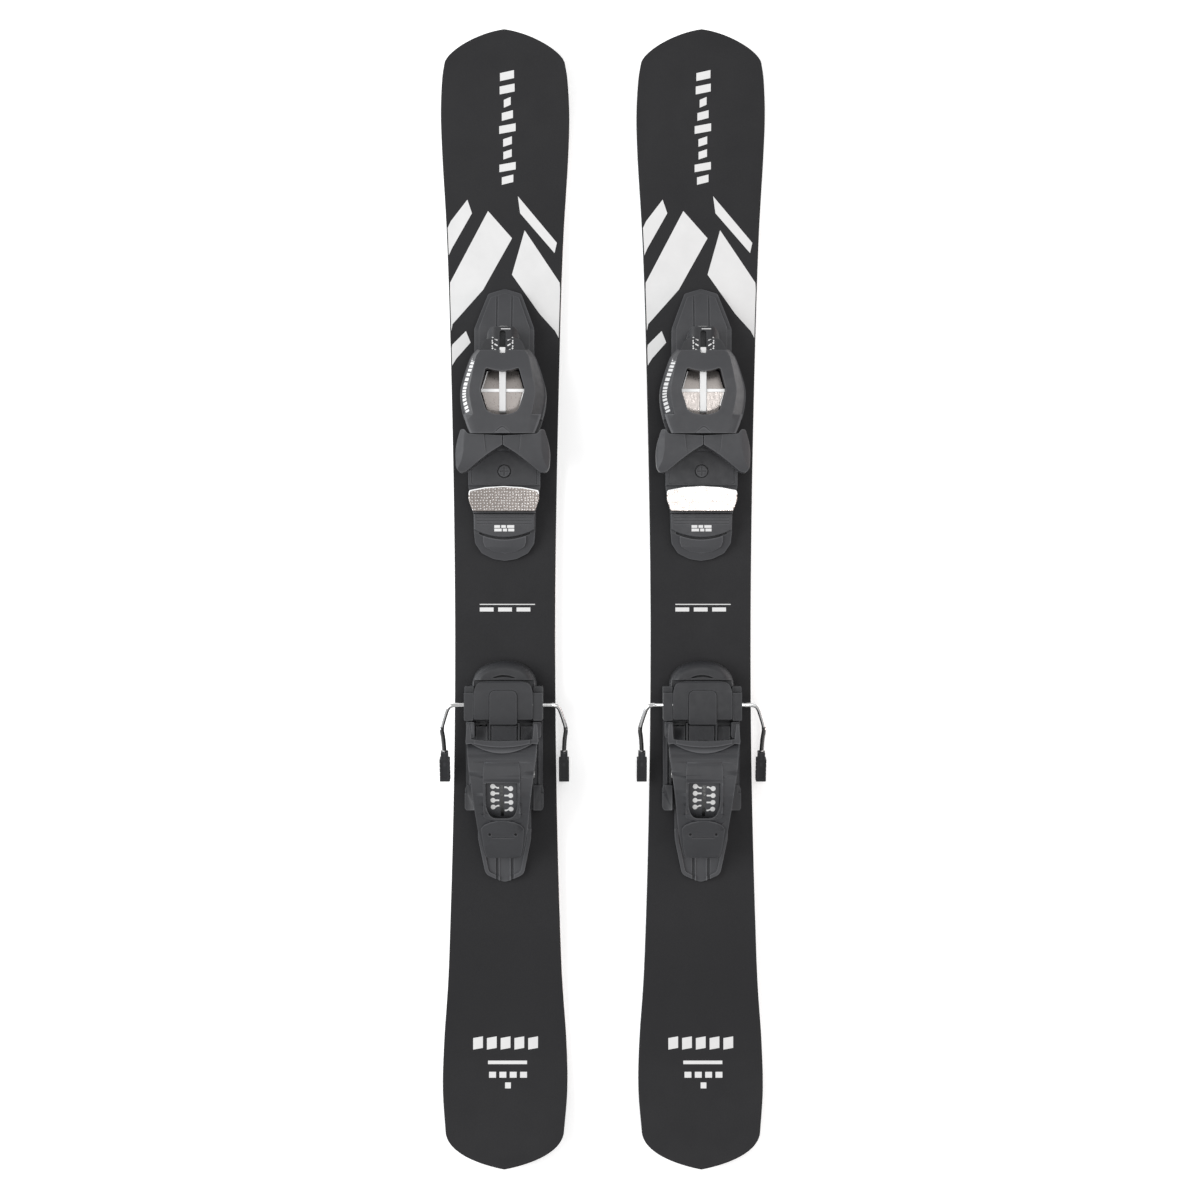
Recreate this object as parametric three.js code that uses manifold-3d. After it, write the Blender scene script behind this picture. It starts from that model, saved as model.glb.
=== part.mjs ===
// A pair of short alpine skis with step-in bindings, as an assembly of separate solids.
// Millimetres. X runs across the pair, +Y towards the ski tips, +Z up.
// The origin is midway between the skis, on the plane that their bases stand on.

import * as THREE from "three";
import { mergeVertices } from "three/addons/utils/BufferGeometryUtils.js";
import Module from "manifold-3d";

// ---------------------------------------------------------------- driving dimensions

const SKI_SPACING = 170.2; // between the centre-lines of the two skis
const HALF_LENGTH = 492; // half of the straight length, nose to tail
const RISE_START = 345; // the base is flat between the two rises
const TIP_RISE = 24;
const TAIL_RISE = 20;
const MID_THICKNESS = 13;
const END_THICKNESS = 6.5;
const TAPER_START = 285; // the ski keeps its full thickness under the binding
const TAPER_END = 400;
const EDGE_WIDTH = 2;
const EDGE_HEIGHT = 1.9;
const EDGE_REACH = 462; // the steel edges stop short of the nose and the tail
const TOPSHEET_THICKNESS = 1.2;
const LAYER_GAP = 0.1;

const SCREW_AXIS = 30; // height of the toe release spring's axis above the ski top
const WING_PIVOT = { x: 18, y: 136 };
const HEIGHT_SCREW_Y = 111;
const BRAKE_AXIS = { y: -89.7, z: 30 };
const BRAKE_SLOPE = THREE.MathUtils.degToRad(19);
const BRAKE_WIRE_RADIUS = 1.8;
const HEEL_PIVOT = { y: -150, z: 18 };
const JAW_ARC = 44; // radius of the jaw's back about the heel pivot
const LEVER_INNER_ARC = 44.4;
const LEVER_OUTER_ARC = 48.5;
const HEEL_SPRING_AXIS = 38;

const ROUND_SIDES = 20;
const PLATE_TOP = 16; // top of the toe plate above the ski top
const TRACK_TOP = 8;
const CARRIER_FLOOR = 8.4;

// ---------------------------------------------------------------- materials

function finish(color, roughness, metalness) {
  return new THREE.MeshStandardMaterial({ color, roughness, metalness });
}

const GRAPHITE_TOPSHEET = finish(0x343436, 0.55, 0);
const DARK_PLASTIC = finish(0x55565a, 0.5, 0);
const BLACK_PLASTIC = finish(0x2a2b2d, 0.55, 0);
const BASE_PLASTIC = finish(0x18181a, 0.4, 0);
const CORE_SIDEWALL = finish(0x2c2524, 0.5, 0);
const EDGE_STEEL = finish(0xa9abad, 0.3, 1);
const BRIGHT_STEEL = finish(0xd4d6d8, 0.15, 1);
const SPRING_STEEL = finish(0x8e9093, 0.35, 1);
const PAD_METAL = finish(0xb9b4ac, 0.35, 0.8);
const WHITE_PLASTIC = finish(0xf2f2f0, 0.5, 0);

// ---------------------------------------------------------------- modelling helpers

const wasm = await Module();
wasm.setup();

function solid(geometry) {
  const bare = geometry.clone();
  bare.deleteAttribute("normal");
  bare.deleteAttribute("uv");
  const merged = mergeVertices(bare);
  return new wasm.Manifold(new wasm.Mesh({
    numProp: 3,
    vertProperties: new Float32Array(merged.attributes.position.array),
    triVerts: new Uint32Array(merged.index.array),
  }));
}

function geometryOf(manifold) {
  const mesh = manifold.getMesh();
  const geometry = new THREE.BufferGeometry();
  geometry.setAttribute("position", new THREE.BufferAttribute(mesh.vertProperties, 3));
  geometry.setIndex(new THREE.BufferAttribute(mesh.triVerts, 1));
  geometry.computeVertexNormals();
  return geometry;
}

function prism(points, depth) {
  const shape = new THREE.Shape(points.map(([a, b]) => new THREE.Vector2(a, b)));
  return new THREE.ExtrudeGeometry(shape, { depth, bevelEnabled: false });
}

// A prism standing on Z, from an outline of [x, y] points.
function plan(points, bottom, top) {
  return solid(prism(points, top - bottom).translate(0, 0, bottom));
}

// A prism lying along X, from an outline of [y, z] points.
function side(points, from, to) {
  const turned = prism(points, to - from).rotateX(Math.PI / 2).rotateZ(Math.PI / 2);
  return solid(turned.translate(from, 0, 0));
}

// A prism lying along Y, from an outline of [x, z] points.
function front(points, from, to) {
  return solid(prism(points, to - from).rotateX(Math.PI / 2).translate(0, to, 0));
}

function box(xs, ys, zs) {
  const size = [xs, ys, zs].map(([low, high]) => high - low);
  const middle = [xs, ys, zs].map(([low, high]) => (low + high) / 2);
  return solid(new THREE.BoxGeometry(...size).translate(...middle));
}

function roundAlongX(radius, from, to, y, z, sides = ROUND_SIDES) {
  const bar = new THREE.CylinderGeometry(radius, radius, to - from, sides).rotateZ(Math.PI / 2);
  return solid(bar.translate((from + to) / 2, y, z));
}

function roundAlongY(radius, from, to, x, z, sides = ROUND_SIDES) {
  const bar = new THREE.CylinderGeometry(radius, radius, to - from, sides);
  return solid(bar.translate(x, (from + to) / 2, z));
}

function roundAlongZ(radius, from, to, x, y, sides = ROUND_SIDES) {
  const bar = new THREE.CylinderGeometry(radius, radius, to - from, sides).rotateX(Math.PI / 2);
  return solid(bar.translate(x, y, (from + to) / 2));
}

// The whole outline of a symmetric plan, from its right-hand half.
function mirrored(half) {
  const left = half.filter(([x]) => x > 0).map(([x, y]) => [-x, y]).reverse();
  return [...half, ...left];
}

// Points on an arc in the Y-Z plane; angles are measured from +Z towards -Y, in degrees.
function sideArc(centre, radius, fromDegrees, toDegrees, steps) {
  return Array.from({ length: steps + 1 }, (_, i) => {
    const angle = THREE.MathUtils.degToRad(fromDegrees + ((toDegrees - fromDegrees) * i) / steps);
    return [centre.y - radius * Math.sin(angle), centre.z + radius * Math.cos(angle)];
  });
}

class SpringCurve extends THREE.Curve {
  constructor(radius, from, to, z, turns) {
    super();
    Object.assign(this, { radius, from, to, z, turns });
  }

  getPoint(t, target = new THREE.Vector3()) {
    const angle = 2 * Math.PI * this.turns * t;
    const x = this.radius * Math.cos(angle);
    const y = this.from + (this.to - this.from) * t;
    return target.set(x, y, this.z + this.radius * Math.sin(angle));
  }
}

function tube(curve, radius, sides, steps) {
  const section = new THREE.Shape();
  const corners = Array.from({ length: sides }, (_, i) => {
    const angle = (2 * Math.PI * i) / sides;
    return new THREE.Vector2(radius * Math.cos(angle), radius * Math.sin(angle));
  });
  section.setFromPoints(corners);
  return solid(new THREE.ExtrudeGeometry(section, { extrudePath: curve, steps }));
}

// ---------------------------------------------------------------- the ski's layers

// Height of the running surface: flat in the middle, curving up at both ends.
function baseHeight(y) {
  const past = Math.max(0, Math.abs(y) - RISE_START) / (HALF_LENGTH - RISE_START);
  return (y > 0 ? TIP_RISE : TAIL_RISE) * past * past;
}

function skiThickness(y) {
  const along = THREE.MathUtils.clamp((Math.abs(y) - TAPER_START) / (TAPER_END - TAPER_START), 0, 1);
  return THREE.MathUtils.lerp(MID_THICKNESS, END_THICKNESS, along);
}

// The sidecut: a wide shovel, a waist under the boot and a flared tail.
const SIDECUT = [
  [51.5, -460], [54.2, -425], [53.2, -383], [48.8, -313], [44.8, -174], [43.5, -45], [44.6, 87],
  [47.6, 226], [50.6, 313], [54.7, 383], [55.9, 421], [54.5, 450], [52.3, 464],
];

function skiOutline(inset) {
  const vectors = SIDECUT.map(([x, y]) => new THREE.Vector2(x, y));
  const sidecut = new THREE.SplineCurve(vectors);
  const tail = new THREE.CubicBezierCurve(
    new THREE.Vector2(0, -HALF_LENGTH), new THREE.Vector2(14, -489.5),
    new THREE.Vector2(51, -481), vectors[0],
  );
  const nose = new THREE.CubicBezierCurve(
    vectors.at(-1), new THREE.Vector2(51, 474),
    new THREE.Vector2(24, 489.2), new THREE.Vector2(0, HALF_LENGTH),
  );
  const right = [
    ...tail.getPoints(8).slice(0, -1),
    ...sidecut.getPoints(30).slice(0, -1),
    ...nose.getPoints(8),
  ];
  const inner = right.map((point, i) => {
    const before = right[Math.max(i - 1, 0)];
    const after = right[Math.min(i + 1, right.length - 1)];
    const along = after.clone().sub(before).normalize();
    const x = Math.abs(point.x) < 0.001 ? 0 : Math.max(point.x - inset * along.y, 0.2);
    const isEnd = i === 0 || i === right.length - 1;
    return [x, point.y + (isEnd ? -Math.sign(point.y) * inset : inset * along.x)];
  });
  return mirrored(inner);
}

// The part of the ski between two heights above its base, in side view.
function layer(inset, lower, upper) {
  const rise = Array.from({ length: 8 }, (_, i) => RISE_START + ((HALF_LENGTH + 4 - RISE_START) * i) / 7);
  const stations = [...rise.map((y) => -y).reverse(), -TAPER_START, TAPER_START, ...rise];
  const below = stations.map((y) => [y, baseHeight(y) + lower(y)]);
  const above = stations.map((y) => [y, baseHeight(y) + upper(y)]).reverse();
  const band = side([...below, ...above], -80, 80);
  return plan(skiOutline(inset), -10, 60).intersect(band);
}

function skiPieces() {
  const running = layer(EDGE_WIDTH + LAYER_GAP, () => 0, () => EDGE_HEIGHT);
  const fullWidth = layer(0, () => 0, () => EDGE_HEIGHT);
  const edges = fullWidth
    .subtract(layer(EDGE_WIDTH, () => -1, () => EDGE_HEIGHT + 1))
    .intersect(box([-80, 80], [-EDGE_REACH, EDGE_REACH], [-1, 60]));
  const core = layer(
    0.5,
    () => EDGE_HEIGHT + LAYER_GAP,
    (y) => skiThickness(y) - TOPSHEET_THICKNESS - LAYER_GAP,
  );
  const topsheet = layer(0, (y) => skiThickness(y) - TOPSHEET_THICKNESS, skiThickness);
  return [
    ["base", running, BASE_PLASTIC],
    ["edge_left", edges.intersect(box([-80, 0], [-500, 500], [-1, 60])), EDGE_STEEL],
    ["edge_right", edges.intersect(box([0, 80], [-500, 500], [-1, 60])), EDGE_STEEL],
    ["core", core, CORE_SIDEWALL],
    ["topsheet", topsheet, GRAPHITE_TOPSHEET],
  ];
}

// ---------------------------------------------------------------- the toe piece
// Binding pieces are drawn with z = 0 on the ski's top.

// Lengthwise grooves on the toe plate's nose and on the end of the heel track.
const GROOVES = [-6.5, 6.5];

function toePlate() {
  const outline = mirrored([
    [0, 270.3], [14.3, 265.6], [21, 247.6], [25.8, 234], [25.8, 150], [31, 135], [31, 98],
    [26.5, 76], [26.3, 56], [25, 41], [20, 34],
  ]);
  const profile = [
    [271, 0.1], [271, 3], [258, 9], [237, PLATE_TOP], [75, PLATE_TOP],
    [72, 15], [56, 15], [36, 6], [34, 0.1],
  ];
  let plate = plan(outline, 0, 30).intersect(side(profile, -40, 40));
  for (const x of GROOVES) {
    plate = plate.subtract(side([[272, 1.6], [272, 12], [239, 22], [239, 13]], x - 1.2, x + 1.2));
  }
  return plate.subtract(roundAlongZ(5.5, 12, 30, 0, HEIGHT_SCREW_Y));
}

// The housing carries the release spring. Its lid covers the fronts of the wings,
// and its tongue runs back under them to hold their pins.
function toeHousing() {
  const outline = mirrored([
    [25.6, 211], [31, 196], [37.5, 178], [36, 163], [32, 149], [28.6, 141], [28, 140.9], [28, 128],
  ]);
  const profile = [
    [211, 16.1], [211, 49], [196, 52], [178, 54], [141, 54], [141, 50.6], [154, 50.6],
    [154, 28], [128, 28], [128, 16.1],
  ];
  const windowOutline = mirrored([[14, 196], [19, 177], [13, 157]]);
  const scaleBoss = front(
    [[-13.7, 16.1], [13.7, 16.1], [13.7, 41], [9, 46], [-9, 46], [-13.7, 41]],
    210, 231.5,
  );
  let housing = plan(outline, 10, 60).intersect(side(profile, -50, 50)).add(scaleBoss);
  housing = housing.subtract(plan(windowOutline, 10, 70));
  housing = housing.subtract(roundAlongY(5.5, 190, 240, 0, SCREW_AXIS));
  housing = housing.subtract(box([-2.6, 2.6], [208.6, 229], [41, 60]));
  for (const x of [-WING_PIVOT.x, WING_PIVOT.x]) {
    housing = housing.subtract(roundAlongZ(3.3, 19, 40, x, WING_PIVOT.y));
  }
  return housing;
}

function toeSpringCup() {
  const outline = mirrored([[13.4, 195], [18.3, 177], [12.4, 157.7]]);
  const roof = front(
    [[-19, 16.3], [19, 16.3], [19, 33], [3, 44], [-3, 44], [-19, 33]],
    150, 200,
  );
  const cup = plan(outline, 16.3, 50).intersect(roof);
  return cup.subtract(roundAlongY(7.5, 163, 200, 0, SCREW_AXIS));
}

function slottedScrew(radius, from, to) {
  const screw = roundAlongY(radius, from, to, 0, SCREW_AXIS);
  return screw.subtract(box([-4, 4], [to - 2, to + 1], [SCREW_AXIS - 0.8, SCREW_AXIS + 0.8]));
}

function wing(direction) {
  const outline = [
    [0.25, 139.4], [14, 140.2], [30, 141], [32, 144.6], [35.6, 144.6], [38.9, 134], [40.2, 125],
    [39.6, 112], [36.5, 108], [32, 108.6], [21.5, 117], [10.5, 125.4], [0.25, 131.6],
  ].map(([x, y]) => [direction * x, y]);
  const profile = [[146, 29], [146, 50], [128, 50], [105, 45.5], [105, 31], [120, 29]];
  const body = plan(outline, 20, 60).intersect(side(profile, -50, 50));
  const pinHole = roundAlongZ(3.3, 20, 48.8, direction * WING_PIVOT.x, WING_PIVOT.y);
  return body.subtract(pinHole);
}

function wingPin(direction) {
  return roundAlongZ(3, 19.4, 48.4, direction * WING_PIVOT.x, WING_PIVOT.y);
}

function afdPlate() {
  const outline = mirrored([[0, 98], [20, 97.4], [30.2, 95], [26.5, 76.5]]);
  return plan(outline, PLATE_TOP + 0.4, 24);
}

function heightScrew() {
  const head = roundAlongZ(5, 12.4, 18.5, 0, HEIGHT_SCREW_Y);
  return head.subtract(box([-4, 4], [HEIGHT_SCREW_Y - 0.7, HEIGHT_SCREW_Y + 0.7], [17, 20]));
}

function releaseSpring(radius, wire, from, to, z) {
  return tube(new SpringCurve(radius, from, to, z, 4.5), wire, 6, 45);
}

function toePieces() {
  return [
    ["toe_plate", toePlate(), DARK_PLASTIC],
    ["toe_housing", toeHousing(), DARK_PLASTIC],
    ["toe_spring_cup", toeSpringCup(), BRIGHT_STEEL],
    ["toe_spring", releaseSpring(5.2, 1, 164.5, 192.5, SCREW_AXIS), SPRING_STEEL],
    ["toe_indicator", box([-2.2, 2.2], [209.3, 214.3], [41.4, 45.6]), WHITE_PLASTIC],
    ["toe_din_screw", slottedScrew(5, 194.5, 234), SPRING_STEEL],
    ["wing_left", wing(-1), DARK_PLASTIC],
    ["wing_right", wing(1), DARK_PLASTIC],
    ["wing_pin_left", wingPin(-1), SPRING_STEEL],
    ["wing_pin_right", wingPin(1), SPRING_STEEL],
    ["afd_plate", afdPlate(), PAD_METAL],
    ["height_screw", heightScrew(), SPRING_STEEL],
  ];
}

// ---------------------------------------------------------------- the heel piece

function heelTrack() {
  const outline = mirrored([[22.5, -56], [23, -206.6], [16.4, -238.5], [0, -245.5]]);
  const profile = [[-55, 0.1], [-55, TRACK_TOP], [-206.6, TRACK_TOP], [-246, 3], [-246, 0.1]];
  let track = plan(outline, 0, 20).intersect(side(profile, -40, 40));
  for (const x of GROOVES) {
    track = track.subtract(box([x - 1.2, x + 1.2], [-247, -210], [2, 12]));
  }
  return track;
}

function heelCarrier() {
  const { y, z } = HEEL_PIVOT;
  const floor = box([-30, 30], [-181, -104.5], [CARRIER_FLOOR, 12]);
  let carrier = floor;
  for (const s of [-1, 1]) {
    const across = (from, to) => [Math.min(s * from, s * to), Math.max(s * from, s * to)];
    const [earFrom, earTo] = across(14, 19.3);
    const ear = roundAlongX(8.5, earFrom, earTo, y, z)
      .add(box(across(14, 19.3), [y - 10, y + 10], [CARRIER_FLOOR, z]));
    const prong = box(across(25, 32), [-118, -104.5], [CARRIER_FLOOR, 28]);
    const flange = box(across(25.4, 33.8), [-181, -159.5], [1, 20]);
    const rib = box(across(11.8, 13.4), [-135, -106], [12, 18]);
    const sill = box(across(29.5, 33.2), [-160, -104.5], [CARRIER_FLOOR, 14]);
    carrier = carrier.add(ear).add(prong).add(flange).add(rib).add(sill);
    carrier = carrier.subtract(box(across(19.6, 25.3), [y - 10, y + 10], [0, 13]));
  }
  carrier = carrier.subtract(box([-13.9, 13.9], [y - 10, y + 10], [0, 13]));
  return carrier.subtract(roundAlongX(4.3, -30, 30, y, z));
}

// The cup that holds the boot heel: two arms reach forward beside it, a concave lip holds it down,
// and the release spring has its bore in the back.
function heelJaw() {
  const { y, z } = HEEL_PIVOT;
  const outline = mirrored([
    [25.8, -118], [25.8, -104.5], [31, -104.5], [30.5, -119], [28.3, -137],
    [19.4, -137.2], [19.4, -165], [12.8, -165.2], [12.8, -184.5],
  ]);
  const profile = [
    [-118, 54], [-104.5, 53.5], [-104.5, 59], [-118, 61.5], [-126.5, 62],
    ...sideArc(HEEL_PIVOT, JAW_ARC, -32, 48, 10),
    [-184.5, 30], [-160, 28], [-152, 30], [-135, 30], [-127, 36], [-127, 48],
  ];
  const hub = roundAlongX(8.5, -13.6, 13.6, y, z)
    .add(box([-13.6, 13.6], [y - 8, y + 8], [z, 31]));
  const heelRound = roundAlongZ(100, 10, 80, 0, -20, 96)
    .intersect(box([-25.8, 25.8], [-130, -100], [10, 80]));
  return plan(outline, 0, 80).intersect(side(profile, -50, 50)).add(hub)
    .subtract(heelRound)
    .subtract(roundAlongX(4.3, -20, 20, y, z))
    .subtract(roundAlongY(6, -190, -141, 0, HEEL_SPRING_AXIS));
}

// The lever's shell slides over the jaw's round back, and its cheeks reach down to the pin.
function heelLever() {
  const { y, z } = HEEL_PIVOT;
  const outline = mirrored([
    [28.3, -137.3], [24.9, -161.5], [20.7, -196.5], [17.5, -213], [14, -221.5],
  ]);
  const inner = sideArc(HEEL_PIVOT, LEVER_INNER_ARC, -20, 40, 9).reverse();
  const shell = [
    ...sideArc(HEEL_PIVOT, LEVER_OUTER_ARC, -20, 40, 9),
    [-220, 28.5], [-222, 26], [-219, 21.5], ...inner,
  ];
  let lever = plan(outline, 0, 80).intersect(side(shell, -50, 50));
  lever = lever.subtract(box([-13.4, 13.4], [-185, -156], [0, 90]));
  for (const s of [-1, 1]) {
    const from = Math.min(s * 20, s * 24.6);
    const cheek = side(
      [[-157.5, z], [-143, z + 3], [-147, 64], [-161, 63]],
      from, from + 4.6,
    );
    lever = lever.add(cheek).add(roundAlongX(8.4, from, from + 4.6, y, z));
  }
  return lever.subtract(roundAlongX(4.3, -30, 30, y, z));
}

function brakeBase() {
  const { y, z } = BRAKE_AXIS;
  const outline = mirrored([
    [0, -52], [12, -53], [21, -57.5], [26, -64.5], [27.8, -72], [27.8, -104],
  ]);
  const profile = [
    [-51, CARRIER_FLOOR], [-51, 13], [-58, 21], [-63, 23.5], [-67, 23.5], [-67, 16],
    [-104, 16], [-104, CARRIER_FLOOR],
  ];
  let base = plan(outline, 0, 30).intersect(side(profile, -40, 40));
  for (const x of [-33.6, 25.6]) {
    base = base.add(box([x, x + 8], [-103, -74], [CARRIER_FLOOR, 34.5]));
  }
  return base.subtract(roundAlongX(2.5, -40, 40, y, z, 16));
}

function brakePedal() {
  const { y, z } = BRAKE_AXIS;
  const plate = mirrored([[17, -69], [23, -71.5], [25.3, -77], [25.3, -102]]);
  const pad = mirrored([[9, -76], [12, -79], [12, -103], [8, -106.6]]);
  return plan(plate, 26.5, 36)
    .add(plan(pad, 33, 38))
    .subtract(roundAlongX(2.1, -30, 30, y, z, 16));
}

// The brake arm lies in a plane that slopes down behind the axle. Points are
// [distance from the ski's centre, distance behind the axle in that plane].
const ARM_ROUTE = [
  [2, 0], [18, 0], [34, 0], [43.6, 0.4], [47.4, 3], [49.8, 9], [53, 20], [53.2, 24], [52.2, 32], [51.6, 43],
];
const ARM_CENTRE = 51.5;

function inArmPlane(geometryInPlane) {
  return geometryInPlane.rotateX(BRAKE_SLOPE).translate(0, BRAKE_AXIS.y, BRAKE_AXIS.z);
}

function brakeArm(direction) {
  const vectors = ARM_ROUTE.map(([x, behind]) => new THREE.Vector3(direction * x, -behind, 0));
  const end = new THREE.Vector3(direction * ARM_CENTRE, -54, 0);
  const route = new THREE.CatmullRomCurve3([...vectors, end], false, "centripetal");
  const wire = geometryOf(tube(route, BRAKE_WIRE_RADIUS, 8, 34));
  return solid(inArmPlane(wire));
}

function brakeTip(direction) {
  const blade = [
    [-3.1, -43.4], [-3.1, -48.4], [-4.4, -49.4], [-4.4, -69], [-3.4, -70.2],
    [3.4, -70.2], [4.4, -69], [4.4, -49.4], [3.1, -48.4], [3.1, -43.4],
  ].map(([x, behind]) => [direction * ARM_CENTRE + x, behind]);
  const bore = roundAlongY(2.2, -56, -40, direction * ARM_CENTRE, 0, 12);
  const flat = geometryOf(plan(blade, -3.4, 3.4).subtract(bore));
  return solid(inArmPlane(flat));
}

function heelPieces() {
  const { y, z } = HEEL_PIVOT;
  const dinScrew = roundAlongY(5.7, -184.2, -178, 0, HEEL_SPRING_AXIS)
    .subtract(box([-4, 4], [-185, -182.4], [HEEL_SPRING_AXIS - 0.8, HEEL_SPRING_AXIS + 0.8]));
  return [
    ["heel_track", heelTrack(), DARK_PLASTIC],
    ["heel_carrier", heelCarrier(), DARK_PLASTIC],
    ["heel_jaw", heelJaw(), DARK_PLASTIC],
    ["heel_lever", heelLever(), DARK_PLASTIC],
    ["heel_pivot_pin", roundAlongX(4, -26.5, 26.5, y, z), SPRING_STEEL],
    ["heel_spring", releaseSpring(4.6, 1, -176.5, -142.5, HEEL_SPRING_AXIS), SPRING_STEEL],
    ["heel_din_screw", dinScrew, SPRING_STEEL],
    ["brake_base", brakeBase(), DARK_PLASTIC],
    ["brake_pedal", brakePedal(), BLACK_PLASTIC],
    ["brake_arm_left", brakeArm(-1), BRIGHT_STEEL],
    ["brake_arm_right", brakeArm(1), BRIGHT_STEEL],
    ["brake_tip_left", brakeTip(-1), BLACK_PLASTIC],
    ["brake_tip_right", brakeTip(1), BLACK_PLASTIC],
  ];
}

// ---------------------------------------------------------------- the pair

function withGeometry([name, body, material]) {
  return { name, geometry: geometryOf(body), material };
}

const skiParts = skiPieces().map(withGeometry);
const bindingParts = [...toePieces(), ...heelPieces()].map(withGeometry);

function addMeshes(group, prefix, parts) {
  for (const { name, geometry, material } of parts) {
    const mesh = new THREE.Mesh(geometry, material);
    mesh.name = `${prefix}_${name}`;
    group.add(mesh);
  }
}

const pair = new THREE.Group();
for (const [prefix, direction] of [["left", -1], ["right", 1]]) {
  const ski = new THREE.Group();
  ski.position.x = (direction * SKI_SPACING) / 2;
  const binding = new THREE.Group();
  binding.position.z = MID_THICKNESS;
  addMeshes(ski, prefix, skiParts);
  addMeshes(binding, prefix, bindingParts);
  ski.add(binding);
  pair.add(ski);
}

export default pair;
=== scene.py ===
"""A pair of short alpine skis with bindings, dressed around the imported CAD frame.

Shapes are drawn in millimetres in each binding's own frame (x across the ski, y towards the tip,
z above the ski's top) and placed by the frame's boxes. Blender's units are metres.
"""

import math

import bmesh
import bpy
from mathutils import Matrix, Vector
from mathutils.bvhtree import BVHTree


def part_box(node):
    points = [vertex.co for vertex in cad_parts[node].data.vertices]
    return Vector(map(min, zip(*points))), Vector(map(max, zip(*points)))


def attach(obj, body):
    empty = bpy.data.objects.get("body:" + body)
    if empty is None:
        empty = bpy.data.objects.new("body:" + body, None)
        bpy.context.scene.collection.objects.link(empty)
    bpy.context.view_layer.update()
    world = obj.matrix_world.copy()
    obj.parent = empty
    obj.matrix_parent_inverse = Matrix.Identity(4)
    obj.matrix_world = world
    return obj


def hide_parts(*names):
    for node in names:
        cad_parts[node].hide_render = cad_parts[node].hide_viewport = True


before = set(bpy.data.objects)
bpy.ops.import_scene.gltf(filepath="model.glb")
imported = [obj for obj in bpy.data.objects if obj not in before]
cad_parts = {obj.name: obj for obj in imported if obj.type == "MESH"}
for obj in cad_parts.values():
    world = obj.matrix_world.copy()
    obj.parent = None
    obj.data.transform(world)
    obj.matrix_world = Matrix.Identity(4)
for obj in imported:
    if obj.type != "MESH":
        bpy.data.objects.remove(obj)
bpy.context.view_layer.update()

MM = 0.001
PREFIXES = ("left", "right")

# ---- where each ski is


SEAT_GAP = 0.1  # between a piece and what it stands on, in millimetres


def ski_origin(prefix):
    """The middle of one ski, on the flat top that the binding stands on."""
    low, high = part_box(f"{prefix}_topsheet")
    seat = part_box(f"{prefix}_heel_track")[0].z
    return Vector(((low.x + high.x) / 2, 0, seat - SEAT_GAP * MM))


# ---- object and material helpers


def new_object(name, data):
    """An object of the scene's collection."""
    made = bpy.data.objects.new(name, data)
    bpy.context.scene.collection.objects.link(made)
    return made


class Nodes:
    """A short way to write a shader: every call adds one node and links what it is given."""

    def __init__(self, name):
        self.material = bpy.data.materials.new(name)
        self.material.use_nodes = True
        self.tree = self.material.node_tree
        self.shader = self.tree.nodes["Principled BSDF"]

    def feed(self, socket, value):
        if isinstance(value, bpy.types.NodeSocket):
            self.tree.links.new(value, socket)
        else:
            socket.default_value = value

    def add(self, kind, inputs, output, **settings):
        """Adds a node. Its inputs and the output that comes back go by name or by number."""
        node = self.tree.nodes.new(kind)
        for key, value in settings.items():
            setattr(node, key, value)
        for key, value in inputs.items():
            self.feed(node.inputs[key], value)
        return node.outputs[output]

    def position(self, scale=(1, 1, 1)):
        place = self.add("ShaderNodeTexCoord", {}, "Object")
        return self.add("ShaderNodeMapping", {"Vector": place, "Scale": scale}, "Vector")

    def noise(self, scale, detail=4.0, roughness=0.55, stretch=(1, 1, 1)):
        inputs = {"Scale": scale, "Detail": detail, "Roughness": roughness}
        return self.add("ShaderNodeTexNoise", {"Vector": self.position(stretch), **inputs}, "Fac")

    def voronoi(self, scale, randomness):
        inputs = {"Vector": self.position(), "Scale": scale, "Randomness": randomness}
        return self.add("ShaderNodeTexVoronoi", inputs, "Distance", voronoi_dimensions="2D")

    def ramp(self, factor, first, second):
        """Blends from one colour, where the factor is 0.3, to another, where it is 0.7."""
        node = self.tree.nodes.new("ShaderNodeValToRGB")
        self.feed(node.inputs["Fac"], factor)
        for element, place, colour in zip(node.color_ramp.elements, (0.3, 0.7), (first, second)):
            element.position = place
            element.color = colour
        return node.outputs["Color"]

    def spread(self, factor, low, high, from_low=0.3, from_high=0.7):
        """Spreads the factor's range over low to high."""
        inputs = {"From Min": from_low, "From Max": from_high, "To Min": low, "To Max": high}
        return self.add("ShaderNodeMapRange", {"Value": factor, **inputs}, "Result")

    def mix(self, factor, a, b):
        return self.add("ShaderNodeMix", {0: factor, 6: a, 7: b}, 2, data_type="RGBA")

    def bump(self, height, strength, distance):
        inputs = {"Height": height, "Strength": strength, "Distance": distance}
        return self.add("ShaderNodeBump", inputs, "Normal")

    def edges(self, strength):
        """The strength on convex edges and 0 on flat faces, from how little material lies behind."""
        settings = {"inside": True, "only_local": True, "samples": 6}
        behind = self.add("ShaderNodeAmbientOcclusion", {"Distance": 1.3 * MM}, "AO", **settings)
        return self.spread(behind, strength, 0.0, 0.45, 0.9)

    def finish(self, **sockets):
        for name, value in sockets.items():
            self.feed(self.shader.inputs[name.replace("_", " ")], value)
        return self.material


def grey(value, warm=0.0, blue=0.0):
    """An sRGB grey level from 0 to 255 as a linear colour, warmed towards red-brown or blued."""
    def linear(level):
        share = level / 255
        return share / 12.92 if share <= 0.04045 else ((share + 0.055) / 1.055) ** 2.4
    return (linear(value + warm), linear(value), linear(value - warm * 0.6 + blue), 1.0)


# ---- materials


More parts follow.
